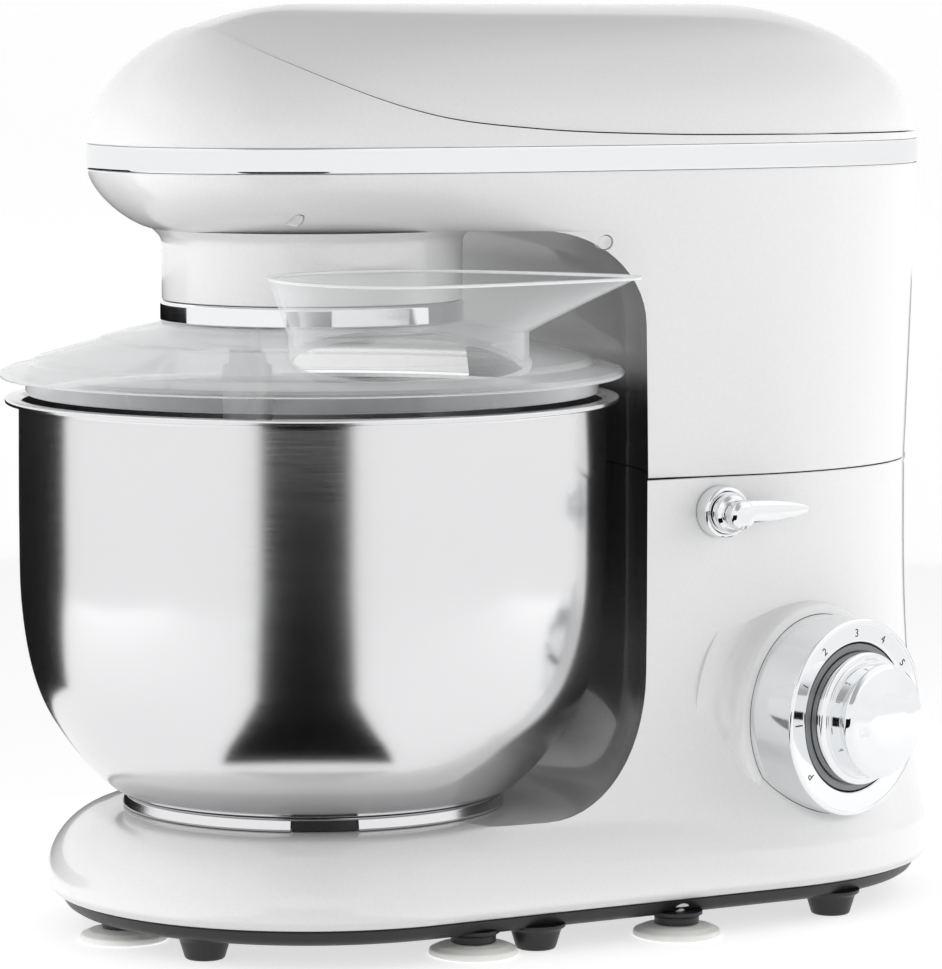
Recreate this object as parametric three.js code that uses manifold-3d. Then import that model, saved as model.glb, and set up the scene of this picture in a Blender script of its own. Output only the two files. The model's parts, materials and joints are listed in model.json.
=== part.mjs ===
// A tilt-head stand mixer, in millimetres. +Z is up, the nose points along -Y and the speed knob faces +X.
// The origin is on the floor, under the middle of the mixer's box, on its plane of symmetry.
import * as THREE from "three";
import { mergeVertices } from "three/addons/utils/BufferGeometryUtils.js";
import Module from "manifold-3d";

const wasm = await Module();
wasm.setup();

// Driving dimensions.
const GAP = 0.3; // between pieces that touch
const WALL = 3; // thickness of the white mouldings
const BOWL_Y = -69; // the bowl, the hub and the planetary drive turn about this vertical axis
const BOWL_RADIUS = 112;
const RIM_Z = 195;
const PLATEAU_Z = 45; // top of the foot, which the bowl stands on
const BULGE_Z = 20; // the foot is widest here
const SKIRT_Z = 14.3; // lower edge of the white foot
const SKIRT_CURL = 4.5; // how far that edge curls in
const SPLIT_Z = 165; // the head and the base part here
const COLUMN_Y = 81;
const COLUMN_LENGTH = 95; // from the column's centre to its back
const COLUMN_HALF = 70;
const COLUMN_FRONT = -49;
const FOOT_RADIUS = 98.5;
const FOOT_HALF = 92.5; // beside the column's centre
const FOOT_LENGTH = 102; // from the column's centre to the back of the foot
const HEAD_Y = 13;
const HEAD_LENGTH = 163; // from the head's centre to its nose
const HEAD_HALF = 80;
const HEAD_ROUNDNESS = 2.6; // exponent of the superellipse that the head follows in plan
const HEAD_TOP = 338;
const BELLY_Z = 256; // underside of the nose
const BAND_Z = [277.7, 286.7];
const CLEARANCE_RADIUS = 123; // hollow front of the column, round the bowl
const HUB_RADIUS = 55;
const HUB_Z = [222, 230, BELLY_Z];
const HINGE_Y = 167;
const HINGE_Z = SPLIT_Z;
const KNUCKLE_RADIUS = 9;
const PIN_RADIUS = 3.5;
const MOTOR_Y = 113;
const PLANET_OFFSET = 26;
const RING_TEETH = 48;
const PINION_TEETH = 16;
const GEAR_MODULE = 1.625;
const LARGE_PULLEY = 48;
const SMALL_PULLEY = 9;
const BELT_Z = [288.2, 295.8];
const LEVER = new THREE.Vector3(0, 62, 152.5); // a point on the release lever's axis, which lies along X
const DIAL = new THREE.Vector3(73.5, 102.2, 76.2); // where the knob's axis meets the column
const DIAL_TURN = THREE.MathUtils.degToRad(17); // the knob faces a little backwards
const BEZEL_RADIUS = 36.4;
const BEZEL_BORE = 27.7;
const DIAL_FACE = 20; // height of the bezel's face along the knob's axis
const KNOB_RADIUS = 27.2;
const CAP_RADIUS = 21;

// Geometry helpers.

// A closed three.js geometry as a solid that can be cut and joined.
function solid(geometry) {
  const bare = geometry.index ? geometry.toNonIndexed() : geometry.clone();
  bare.deleteAttribute("normal");
  bare.deleteAttribute("uv");
  const merged = mergeVertices(bare, 1e-4);
  const corners = merged.index.array;
  const faces = [];
  for (let i = 0; i < corners.length; i += 3) {
    const [a, b, c] = [corners[i], corners[i + 1], corners[i + 2]];
    if (a !== b && b !== c && c !== a) faces.push([a, b, c]);
  }
  const build = (list) =>
    new wasm.Manifold(
      new wasm.Mesh({
        numProp: 3,
        vertProperties: merged.attributes.position.array,
        triVerts: new Uint32Array(list.flat()),
      }),
    );
  const made = build(faces);
  return made.volume() < 0 ? build(faces.map(([a, b, c]) => [a, c, b])) : made;
}

// The geometry of a solid.
function surface(body) {
  const mesh = body.getMesh();
  const geometry = new THREE.BufferGeometry();
  geometry.setAttribute("position", new THREE.BufferAttribute(mesh.vertProperties, 3));
  geometry.setIndex(new THREE.BufferAttribute(mesh.triVerts, 1));
  return geometry;
}

// A profile of [radius, height] points turned about a vertical axis through (x, y).
function revolve(profile, y = BOWL_Y, segments = 20, x = 0) {
  const points = profile.map(([r, z]) => new THREE.Vector2(r, z));
  const onAxis = profile[0][0] === 0 && profile.at(-1)[0] === 0;
  if (!onAxis) points.push(points[0].clone());
  const turned = new THREE.LatheGeometry(points, segments);
  return solid(turned.rotateX(Math.PI / 2).translate(x, y, 0));
}

// An upright cylinder.
function rod(radius, bottom, top, y = BOWL_Y, segments = 12, x = 0) {
  return revolve([[0, bottom], [radius, bottom], [radius, top], [0, top]], y, segments, x);
}

// An upright tube.
function tube(inner, outer, bottom, top, y = BOWL_Y, segments = 12, x = 0) {
  return revolve([[inner, bottom], [outer, bottom], [outer, top], [inner, top]], y, segments, x);
}

// A cylinder along X, between two values of x.
function crossRod(radius, from, to, y, z, segments = 12) {
  const geometry = new THREE.CylinderGeometry(radius, radius, to - from, segments);
  return solid(geometry.rotateZ(Math.PI / 2).translate((from + to) / 2, y, z));
}

// A box between two corners.
function block(low, high) {
  const size = high.map((v, i) => v - low[i]);
  const centre = high.map((v, i) => (v + low[i]) / 2);
  return solid(new THREE.BoxGeometry(...size).translate(...centre));
}

// A flat shape in plan, with depth between two heights.
function slab(shape, bottom, top, curveSegments = 8) {
  const depth = top - bottom;
  const geometry = new THREE.ExtrudeGeometry(shape, { depth, bevelEnabled: false, curveSegments });
  return solid(geometry.translate(0, 0, bottom));
}

// A flat shape of y and z, with depth along X from x = 0.
function acrossX(shape, depth) {
  const geometry = new THREE.ExtrudeGeometry(shape, { depth, bevelEnabled: false, curveSegments: 8 });
  const [x, y, z] = [[1, 0, 0], [0, 1, 0], [0, 0, 1]].map((v) => new THREE.Vector3(...v));
  return geometry.applyMatrix4(new THREE.Matrix4().makeBasis(y, z, x));
}

// A skin through closed rings of equal count, each convex, from the lowest to the highest.
function loft(rings) {
  const count = rings[0].length;
  const points = rings.flat();
  const faces = [];
  for (let k = 0; k + 1 < rings.length; k++)
    for (let i = 0; i < count; i++) {
      const here = k * count + i;
      const next = k * count + ((i + 1) % count);
      faces.push(here, next, next + count, here, next + count, here + count);
    }
  for (const [ring, sign] of [[0, -1], [rings.length - 1, 1]]) {
    const middle = points.length;
    const sum = rings[ring].reduce((s, p) => s.map((v, i) => v + p[i]), [0, 0, 0]);
    points.push(sum.map((v) => v / count));
    for (let i = 0; i < count; i++) {
      const here = ring * count + i;
      const next = ring * count + ((i + 1) % count);
      faces.push(middle, ...(sign > 0 ? [here, next] : [next, here]));
    }
  }
  const geometry = new THREE.BufferGeometry();
  geometry.setAttribute("position", new THREE.Float32BufferAttribute(points.flat(), 3));
  geometry.setIndex(faces);
  return solid(geometry);
}

// A ring at one height, symmetric about x = 0, from its front to its rear and back.
function planRing(front, rear, z, halfWidth, steps = 10) {
  const right = [];
  for (let i = 1; i < steps; i++) {
    const y = (front + rear) / 2 - ((rear - front) / 2) * Math.cos((Math.PI * i) / steps);
    right.push([halfWidth(y), y, z]);
  }
  const left = right.map(([x, y]) => [-x, y, z]).reverse();
  return [[0, front, z], ...right, [0, rear, z], ...left];
}

const smooth = (t) => THREE.MathUtils.smoothstep(t, 0, 1);
const { lerp } = THREE.MathUtils;

// Outlines of the casing.

// Rounding of an edge: how far the surface has moved inwards at a share of the height, from 0 to 1.
function rounding(share, exponent) {
  return 1 - Math.pow(Math.max(0, 1 - Math.pow(share, exponent)), 1 / exponent);
}

// Half width of an oval of two half lengths, at a distance from its centre.
function oval(distance, length, half, exponent = 2) {
  const share = Math.min(1, Math.abs(distance) / length);
  return half * Math.pow(1 - Math.pow(share, exponent), 1 / exponent);
}

// The column flares towards the foot. Half width at a height, and the y of its back.
function columnFlare(z) {
  return Math.pow(THREE.MathUtils.clamp((SPLIT_Z - z) / 135, 0, 1), 3);
}
function columnHalf(y, z, inset) {
  const half = lerp(COLUMN_HALF, FOOT_HALF, columnFlare(z)) - inset;
  const length = lerp(COLUMN_LENGTH, FOOT_LENGTH, columnFlare(z)) - inset;
  return y > COLUMN_Y ? oval(y - COLUMN_Y, length, half) : half - (COLUMN_Y - y) * 0.04;
}
function columnRing(z, inset = 0) {
  const rear = COLUMN_Y + lerp(COLUMN_LENGTH, FOOT_LENGTH, columnFlare(z)) - inset;
  return planRing(COLUMN_FRONT, rear, z, (y) => columnHalf(y, z, inset));
}

// The foot: round in front, nearly straight beside the bowl, oval behind.
function footRing(z, inset) {
  const half = (y) => {
    if (y < BOWL_Y) return oval(y - BOWL_Y, FOOT_RADIUS - inset, FOOT_RADIUS - inset);
    if (y > COLUMN_Y) return oval(y - COLUMN_Y, FOOT_LENGTH - inset, FOOT_HALF - inset);
    return lerp(FOOT_RADIUS, FOOT_HALF, (y - BOWL_Y) / (COLUMN_Y - BOWL_Y)) - inset;
  };
  return planRing(BOWL_Y - FOOT_RADIUS + inset, COLUMN_Y + FOOT_LENGTH - inset, z, half, 12);
}
function footInset(z, inset) {
  const above = THREE.MathUtils.clamp((z + inset - BULGE_Z) / 26, 0, 1);
  const below = THREE.MathUtils.clamp((BULGE_Z - z) / (BULGE_Z - SKIRT_Z), 0, 1);
  return 25 * rounding(above, 1.9) + SKIRT_CURL * rounding(below, 2) + inset;
}
function footLoft(heights, inset) {
  return loft(heights.map((z) => footRing(z, footInset(z, inset))));
}

// The head in plan, and how far its nose curves in under the band.
function headHalf(y, inset) {
  return oval(y - HEAD_Y, HEAD_LENGTH - inset, HEAD_HALF - inset, HEAD_ROUNDNESS);
}
function bellyInset(z) {
  const share = THREE.MathUtils.clamp((BAND_Z[0] - z) / (BAND_Z[0] - BELLY_Z), 0, 1);
  return 24 * rounding(share, 1.5);
}

// Below the band the sides of the nose run back into the sides of the column.
function casingHalf(y, z, inset) {
  const curve = bellyInset(z);
  const nose = headHalf(y, curve + inset);
  const rise = THREE.MathUtils.clamp((z - SPLIT_Z) / (BAND_Z[0] - SPLIT_Z), 0, 1);
  const wide = lerp(columnHalf(y, SPLIT_Z, inset), headHalf(y, inset), rise);
  return lerp(nose, wide, smooth((y + 59) / 90));
}
function casingRing(z, inset = 0) {
  const front = HEAD_Y - HEAD_LENGTH + bellyInset(z) + inset;
  return planRing(front, HEAD_Y + HEAD_LENGTH - inset, z, (y) => casingHalf(y, z, inset), 12);
}
function neckRing(z, inset = 0) {
  return planRing(COLUMN_FRONT, HEAD_Y + HEAD_LENGTH - inset, z, (y) => casingHalf(y, z, inset));
}

// The dome over the band: an elliptical edge all round, up to a ridge.
function domeRing(angle, inset) {
  const height = HEAD_TOP - BAND_Z[1];
  const curve = HEAD_HALF * (1 - Math.cos(angle)) + inset * Math.cos(angle);
  const z = BAND_Z[1] + GAP + (height - GAP - inset) * Math.sin(angle);
  const reach = HEAD_LENGTH - curve;
  return planRing(HEAD_Y - reach, HEAD_Y + reach, z, (y) => headHalf(y, curve), 12);
}
function dome(inset) {
  const steps = 6;
  const angles = Array.from({ length: steps }, (_, i) => ((i / (steps - 1)) * 0.485 * Math.PI));
  return loft(angles.map((a) => domeRing(a, inset)));
}

// The hollow round the bowl, with a fillet onto the foot and another under the head.
function bowlHollow(inset = 0, top = BELLY_Z + 0.2) {
  const profile = [[0, PLATEAU_Z - inset]];
  const radius = CLEARANCE_RADIUS + inset;
  for (let i = 0; i <= 3; i++) {
    const turn = (i / 3) * (Math.PI / 2);
    profile.push([98 + inset + 25 * Math.sin(turn), 95 - (50 + inset) * Math.cos(turn)]);
  }
  for (let i = 0; i <= 3; i++) {
    const turn = (i / 3) * (Math.PI / 2);
    profile.push([radius - 33 * (1 - Math.cos(turn)), 222 + (top + inset - 222) * Math.sin(turn)]);
  }
  profile.push([0, top + inset]);
  return revolve(profile, BOWL_Y, 32);
}

// The mixer, as named meshes.

const mixer = new THREE.Group();
const dialGroup = new THREE.Group();
const outward = new THREE.Vector3(Math.cos(DIAL_TURN), Math.sin(DIAL_TURN), 0);
const rearward = new THREE.Vector3(-Math.sin(DIAL_TURN), Math.cos(DIAL_TURN), 0);
const dialMatrix = new THREE.Matrix4()
  .makeBasis(rearward, new THREE.Vector3(0, 0, 1), outward)
  .setPosition(DIAL);
dialGroup.applyMatrix4(dialMatrix);
mixer.add(dialGroup);

const finish = (color, roughness, metalness) => ({ color, roughness, metalness });
const WHITE = finish(0xf1f1f0, 0.22, 0);
const CHROME = finish(0xd9dbdd, 0.08, 1);
const STEEL = finish(0xc3c5c7, 0.3, 1);
const BLACK = finish(0x1b1b1c, 0.5, 0);
const GREY = finish(0x8f9193, 0.35, 0.3);
const CLEAR = { color: 0xe9eef0, roughness: 0.08, metalness: 0, transparent: true, opacity: 0.35 };
const RUBBER = finish(0xdcdcd8, 0.6, 0);
const COPPER = finish(0xb5672f, 0.35, 1);
const BRONZE = finish(0xa88348, 0.4, 1);
const BOARD = finish(0x2d6a3c, 0.6, 0);
const CAST = finish(0x9fa2a4, 0.45, 0.8);
const NYLON = finish(0xe6e2d3, 0.5, 0);

function add(name, body, look, group = mixer) {
  const mesh = new THREE.Mesh(surface(body), new THREE.MeshStandardMaterial(look));
  mesh.name = name;
  group.add(mesh);
}

const join = (first, ...rest) => rest.reduce((a, b) => a.add(b), first);
const cut = (first, ...rest) => rest.reduce((a, b) => a.subtract(b), first);

// The column's outline at the split, as a prism: both halves of the tilt hinge are trimmed to it.
const columnPrism = loft([135, 190].map((z) => columnRing(SPLIT_Z).map(([x, y]) => [x, y, z])));

// A profile turned about the knob's axis. The dial's own frame has x to the rear, y up and z outwards.
function dialGeometry(profile, segments) {
  const points = profile.map(([r, z]) => new THREE.Vector2(r, z));
  if (profile[0][0] > 0) points.push(points[0].clone());
  return new THREE.LatheGeometry(points, segments).rotateX(Math.PI / 2);
}
function dialTurned(profile, segments = 20) {
  return solid(dialGeometry(profile, segments));
}
function turnedOnColumn(profile, segments = 32) {
  return solid(dialGeometry(profile, segments).applyMatrix4(dialMatrix));
}

const EAR = [20, 25]; // the two ears of the base that hold the ends of the hinge pin
const HOOK_X = [52, 57];
const SLOT = { x: [50, 59], y: [50, 88] }; // where the latch hook passes through both covers
const FEET = [[0, -145], [82, -45], [-82, -45], [84, 37], [-84, 37]]; // x and y of the suction feet
const LEGS = [[45, -133], [-45, -133], [82, -19.8], [-82, -19.8], [73, 109], [-73, 109]];
const PLATE_Z = 7.8; // underside of the base plate
const PLATE_FLOOR = PLATE_Z + WALL;
const CUP_TOP = 4.3; // the suction cup meets its black boss here
const INLET_Z = 30;

function hingeEar(side) {
  const from = side > 0 ? EAR[0] : -EAR[1];
  const post = block([from, HINGE_Y - 12, SPLIT_Z - 18], [from + 5, HINGE_Y + 7, SPLIT_Z]);
  return crossRod(8, from, from + 5, HINGE_Y, HINGE_Z).add(post).intersect(columnPrism);
}

// A raised seat on the curved flank of the column, which the bezel stands in.
function dialPad() {
  const slope = [[46, -14], [43.4, -10], [41.6, -6], [40.7, -2.6], [39.6, -0.6], [38, 0]];
  return turnedOnColumn([[0, -14], ...slope, [0, 0]]);
}

function baseHousing() {
  const column = [24, 40, 56, 75, 100, 130];
  const outer = footLoft([SKIRT_Z, 15.2, 17, BULGE_Z, 27, 33, 38, 42, PLATEAU_Z], 0)
    .add(loft([...column, SPLIT_Z].map((z) => columnRing(z))))
    .add(dialPad())
    .subtract(bowlHollow(0, 300));
  const inner = footLoft([10, SKIRT_Z, 17, BULGE_Z, 29, 36, PLATEAU_Z - WALL], WALL)
    .add(loft([10, ...column, SPLIT_Z - WALL].map((z) => columnRing(z, WALL))))
    .subtract(bowlHollow(WALL, 300));
  const trough = crossRod(KNUCKLE_RADIUS + 3.6, -22.6, 22.6, HINGE_Y, HINGE_Z).intersect(columnPrism);
  const lowered = trough.subtract(block([-30, 100, SPLIT_Z], [30, 200, 200]));
  const boss = crossRod(10.8, -4, 22, 0, 0).rotate([0, 0, 90]).translate([0, 156, INLET_Z]);
  const shell = join(outer.subtract(inner), lowered, hingeEar(1), hingeEar(-1), boss.intersect(outer));
  const inlet = (radius, from, to) =>
    crossRod(radius, from, to, 0, 0).rotate([0, 0, 90]).translate([0, 0, INLET_Z]);
  return cut(
    shell,
    crossRod(KNUCKLE_RADIUS + 0.6, -19.6, 19.6, HINGE_Y, HINGE_Z, 24),
    crossRod(PIN_RADIUS + GAP, -40, 40, HINGE_Y, HINGE_Z),
    block([SLOT.x[0], SLOT.y[0], 150], [SLOT.x[1], SLOT.y[1], 180]),
    turnedOnColumn([[0, -30], [BEZEL_RADIUS + GAP, -30], [BEZEL_RADIUS + GAP, 40], [0, 40]]),
    crossRod(6.3, 40, 90, LEVER.y, LEVER.z),
    rod(59.4, 30, 60, BOWL_Y, 32),
    inlet(9.3, 174, 190),
    inlet(6.3, 140, 190),
  );
}

function basePlate() {
  const edge = [[PLATE_Z, 11], [PLATE_Z + 1, 8.5], [PLATE_Z + 3, 6.4], [SKIRT_Z - GAP, SKIRT_CURL + 0.6]];
  const flange = loft(edge.map(([z, inset]) => footRing(z, inset)));
  const lip = loft([SKIRT_Z - 1, SKIRT_Z + 3].map((z) => footRing(z, SKIRT_CURL + WALL + 1.5)));
  const hollow = loft([PLATE_FLOOR, SKIRT_Z + 4].map((z) => footRing(z, SKIRT_CURL + WALL + 4)));
  const leg = [[0, 0], [6.4, 0], [7.4, 1.2], [9.8, PLATE_Z + 1], [0, PLATE_Z + 1]];
  const legs = LEGS.map(([x, y]) => revolve(leg, y, 10, x));
  const bosses = FEET.map(([x, y]) => rod(8, CUP_TOP + GAP, PLATE_Z + 1, y, 10, x));
  const bores = FEET.map(([x, y]) => rod(3.4, 0, 20, y, 8, x));
  const heads = FEET.map(([x, y]) => rod(6, PLATE_FLOOR, 30, y, 8, x));
  const vents = Array.from({ length: 5 }, (_, i) => block([-35, 60 + i * 10, 5], [35, 64 + i * 10, 30]));
  const tray = cut(join(flange, lip), hollow);
  return cut(join(tray, ...legs, ...bosses), ...bores, ...heads, ...vents);
}

function suctionFoot(x, y) {
  const cup = [[0, 1.6], [14.8, 0], [16, 0.7], [15.4, 2.6], [12, 3.8], [8, CUP_TOP], [3, CUP_TOP]];
  const head = PLATE_FLOOR + GAP;
  return revolve([...cup, [3, head], [5, head], [5, head + 2], [0, head + 2]], y, 10, x);
}

// A ring sector about the bowl's axis, centred on an angle.
function sector(inner, outer, bottom, top, middle, span) {
  const shape = new THREE.Shape();
  const [from, to] = [middle - span / 2, middle + span / 2].map(THREE.MathUtils.degToRad);
  shape.absarc(0, BOWL_Y, outer, from, to, false);
  shape.absarc(0, BOWL_Y, inner, to, from, true);
  return slab(shape, bottom, top, 3);
}

const LOCKS = [98, 218, 338]; // directions of the bayonet lugs

function bowlSeat() {
  const boss = [[0, 38], [59, 38], [59, 44.6], [56, PLATEAU_Z], [56, 49.2], [0, 49.2]];
  const flange = tube(58, 66, 38, PLATEAU_Z - WALL - GAP, BOWL_Y, 32);
  const lugs = LOCKS.map((angle) => sector(55, 61, 47.4, 49.2, angle, 26));
  return join(revolve(boss), flange, ...lugs);
}

add("base_housing", baseHousing(), WHITE);
add("base_plate", basePlate(), BLACK);
for (const [row, [x, y]] of FEET.entries())
  add(`suction_foot_${row + 1}`, suctionFoot(x, y), RUBBER);
add("bowl_seat", bowlSeat(), NYLON);
add("hinge_pin", crossRod(PIN_RADIUS, -25, 25, HINGE_Y, HINGE_Z), STEEL);

function cordInlet() {
  const profile = [[4, 160], [6, 160], [6, 174.3], [9, 174.3], [9, 177], [4, 177]];
  return revolve(profile, 0, 14).rotate([-90, 0, 0]).translate([0, 0, INLET_Z]);
}
add("cord_inlet", cordInlet(), BLACK);

function controlBoard() {
  const board = block([-45, 72, 60], [-43.4, 142, 116]);
  const sink = block([-43.6, 80, 90], [-30, 108, 112]);
  const capacitor = crossRod(7, -43.6, -22, 130, 100);
  const terminal = block([-43.6, 85, 64], [-34, 120, 74]);
  return join(board, sink, capacitor, terminal);
}
add("control_board", controlBoard(), BOARD);

// The release lever, its latch and its spring.
function leverBush() {
  const sleeve = crossRod(6, 64.5, 70, LEVER.y, LEVER.z);
  const flange = crossRod(9.4, 70.2 - GAP, 76.8, LEVER.y, LEVER.z, 20);
  return cut(join(sleeve, flange), crossRod(4.3, 60, 80, LEVER.y, LEVER.z));
}
function releaseLever() {
  const leaf = new THREE.Shape();
  leaf.moveTo(2, -2.4);
  leaf.bezierCurveTo(12, -3.4, 24, -3.8, 31, -1.4);
  leaf.quadraticCurveTo(34.6, 0.8, 31, 2.6);
  leaf.bezierCurveTo(24, 4.8, 12, 5, 2, 4);
  const blade = acrossX(leaf, 4).translate(77.4, LEVER.y, LEVER.z);
  const shaft = crossRod(4, 50, 78, LEVER.y, LEVER.z);
  return join(shaft, crossRod(7, 77.1, 82, LEVER.y, LEVER.z, 18), solid(blade));
}
function leverCap() {
  const profile = [[0, 82.3], [5.2, 82.3], [5.4, 86], [4.4, 88.2], [2.4, 89.2], [0, 89.4]];
  return revolve(profile, 0, 18).rotate([0, 90, 0]).translate([0, LEVER.y, LEVER.z]);
}
function latchHook() {
  const [from, to] = HOOK_X;
  const hub = crossRod(8, from, to, LEVER.y, LEVER.z);
  const arm = block([from, LEVER.y - 4, LEVER.z], [to, LEVER.y + 4, 178]);
  const nose = block([from, LEVER.y - 5.5, 175], [to, LEVER.y, 178]);
  return cut(join(hub, arm, nose), crossRod(4.3, 40, 70, LEVER.y, LEVER.z));
}
function latchKeeper() {
  const [front, rear] = [LEVER.y - 10, LEVER.y - 6.5];
  const feet = [[46, 49], [60, 63]].map(([a, b]) => block([a, front, 169.3], [b, rear, 174]));
  return join(block([46, front, 170.5], [63, rear, 174]), ...feet);
}
add("lever_bush", leverBush(), CHROME);
add("release_lever", releaseLever(), CHROME);
add("lever_cap", leverCap(), CHROME);
add("latch_hook", latchHook(), STEEL);
add("latch_keeper", latchKeeper(), STEEL);

// A torsion spring round the lever's shaft, as a bent wire.
class Coil extends THREE.Curve {
  getPoint(t, target = new THREE.Vector3()) {
    const angle = t * 3 * 2 * Math.PI;
    return target.set(58.4 + t * 5, LEVER.y + 5.6 * Math.cos(angle), LEVER.z + 5.6 * Math.sin(angle));
  }
}
function latchSpring() {
  const wire = new THREE.Shape().absarc(0, 0, 0.6, 0, 2 * Math.PI);
  return solid(new THREE.ExtrudeGeometry(wire, { extrudePath: new Coil(), steps: 27, curveSegments: 2 }));
}
add("latch_spring", latchSpring(), STEEL);

// The speed dial, in its own frame.
const SPINDLE = 5;
const SPINDLE_END = 25.5;
const SKIRT_FACE = DIAL_FACE - 0.8;
function speedBezel() {
  const floor = -9;
  const outside = [[BEZEL_RADIUS, floor - WALL], [BEZEL_RADIUS, DIAL_FACE - 2.4], [35.4, DIAL_FACE - 0.6]];
  const face = [[34, DIAL_FACE], [BEZEL_BORE + 0.8, DIAL_FACE]];
  const inside = [[BEZEL_BORE, DIAL_FACE - 0.8], [BEZEL_BORE, floor], [SPINDLE + 1, floor]];
  return dialTurned([[SPINDLE + 1, floor - WALL], ...outside, ...face, ...inside], 28);
}
function knobSkirt() {
  const bore = SPINDLE + GAP;
  const rim = [[KNOB_RADIUS, SKIRT_FACE - 0.5], [KNOB_RADIUS - 0.5, SKIRT_FACE]];
  return dialTurned([[bore, -6], [KNOB_RADIUS, -6], ...rim, [bore, SKIRT_FACE]], 24);
}
function knobCap() {
  const bottom = SKIRT_FACE + GAP;
  const bore = SPINDLE + GAP;
  const collar = [[24.3, bottom], [24.3, 23.8], [23.5, 24.6], [CAP_RADIUS, 24.8]];
  const dome = [[CAP_RADIUS, 32.2], [20.2, 34.2], [17.4, 35.8], [10, 36.7], [0, 37]];
  const pocket = [[0, SPINDLE_END + 0.5], [bore, SPINDLE_END + 0.5], [bore, bottom]];
  const body = dialTurned([...pocket, ...collar, ...dome], 24);
  const dimple = solid(new THREE.SphereGeometry(6, 12, 8).translate(-14.5, -2.8, 40.8));
  return body.subtract(dimple);
}
function knobSpindle() {
  return dialTurned([[0, -30], [SPINDLE, -30], [SPINDLE, SPINDLE_END], [0, SPINDLE_END]]);
}
function speedSwitch() {
  const bore = dialTurned([[0, -31], [SPINDLE + 0.4, -31], [SPINDLE + 0.4, 0], [0, 0]]);
  return block([-17, -17, -36], [17, 17, -13]).subtract(bore);
}
add("speed_bezel", speedBezel(), CHROME, dialGroup);
add("knob_skirt", knobSkirt(), GREY, dialGroup);
add("knob_cap", knobCap(), CHROME, dialGroup);
add("knob_spindle", knobSpindle(), STEEL, dialGroup);
add("speed_switch", speedSwitch(), BLACK, dialGroup);

// The bowl.
const BOWL_WALL = [[71.4, 51], [82.5, 60.4], [92.4, 73], [98.8, 84], [103.4, 98], [106.6, 120], [107, 191]];
function bowl() {
  const floor = [[0, 50.2], [66, 50.2]];
  const rim = [[107.8, 192.8], [BOWL_RADIUS, 192.8], [BOWL_RADIUS, RIM_Z]];
  const inner = BOWL_WALL.toReversed().slice(0, -1).map(([r, z]) => [r - 1.2, z + 0.6]);
  const lip = [[107, RIM_Z]];
  return revolve([...floor, ...BOWL_WALL, ...rim, ...lip, ...inner, [70.4, 51.8], [0, 51.6]], BOWL_Y, 32);
}
function bowlFootRing() {
  const profile = [[66.6, PLATEAU_Z + GAP], [70, PLATEAU_Z + GAP], [69, 49.8], [66.6, 49.8]];
  const lugs = LOCKS.map((angle) => sector(58.5, 67.5, PLATEAU_Z + GAP, 47, angle, 26));
  return join(revolve(profile), ...lugs);
}
add("bowl", bowl(), STEEL);
add("bowl_foot_ring", bowlFootRing(), STEEL);

// The head.

// Both sides of the seam between the visor and the top cover, as a prism across the head.
function seamPrism(shift) {
  const seam = [[-119, 345], [-113, 325], [-87, 309], [-56, 298], [-18, 293], [30, 290], [200, 290]];
  const shape = new THREE.Shape(seam.map(([y, z]) => new THREE.Vector2(y, z + shift)));
  shape.lineTo(200, 400);
  shape.lineTo(-119, 400);
  return solid(acrossX(shape, 240).translate(-120, 0, 0));
}
function topCover() {
  return cut(dome(0.8), dome(WALL + 0.8)).intersect(seamPrism(0.2));
}
function visor() {
  return cut(dome(0), dome(WALL), seamPrism(-0.2));
}
function trimBand() {
  const [bottom, top] = BAND_Z;
  const ring = (z, inset) => planRing(
    HEAD_Y - HEAD_LENGTH + inset, HEAD_Y + HEAD_LENGTH - inset, z, (y) => headHalf(y, inset), 12);
  return loft([ring(bottom, 0), ring(top, 0)]).subtract(loft([ring(bottom - 1, 3), ring(top + 1, 3)]));
}

const PLUG_RADIUS = 2.4;
const PLUGS = [[-99.8, 260.6], [12, 252]].map(([y, z]) => ({ y, z, x: casingHalf(y, z, 0) }));
function plugRod(plug, side, radius, from, to) {
  const ends = [side * (plug.x + from), side * (plug.x + to)];
  return crossRod(radius, Math.min(...ends), Math.max(...ends), plug.y, plug.z);
}

function lowerHousing() {
  const belly = [BELLY_Z, 258.5, 263, 269, BAND_Z[0] - GAP];
  const outer = loft([166, 210, 256.5].map((z) => neckRing(z)))
    .add(loft(belly.map((z) => casingRing(z))))
    .subtract(bowlHollow());
  const inner = loft([160, 210, 256.5, 280].map((z) => neckRing(z, WALL)))
    .add(loft([BELLY_Z + WALL, 263, 269, 280].map((z) => casingRing(z, WALL))))
    .subtract(bowlHollow(WALL));
  const knuckle = crossRod(KNUCKLE_RADIUS, -19, 19, HINGE_Y, HINGE_Z, 24);
  const web = block([-19, HINGE_Y - 7, HINGE_Z], [19, HINGE_Y + 9, 188]);
  const hinge = join(knuckle, web).intersect(columnPrism);
  const atPlugs = (radius, from, to) =>
    PLUGS.flatMap((plug) => [1, -1].map((side) => plugRod(plug, side, radius, from, to)));
  const bosses = join(...atPlugs(5.4, -12, 10)).intersect(outer);
  const shell = join(outer.subtract(inner), hinge, bosses);
  const earRoom = [[19.4, 32], [-32, -19.4]].map(([a, b]) => crossRod(8.6, a, b, HINGE_Y, HINGE_Z, 24));
  const pockets = atPlugs(PLUG_RADIUS + GAP, -4, 20);
  return cut(shell, ...earRoom, ...pockets, crossRod(5.8, -30, 30, HINGE_Y, HINGE_Z), rod(49, 250, 262));
}

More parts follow.
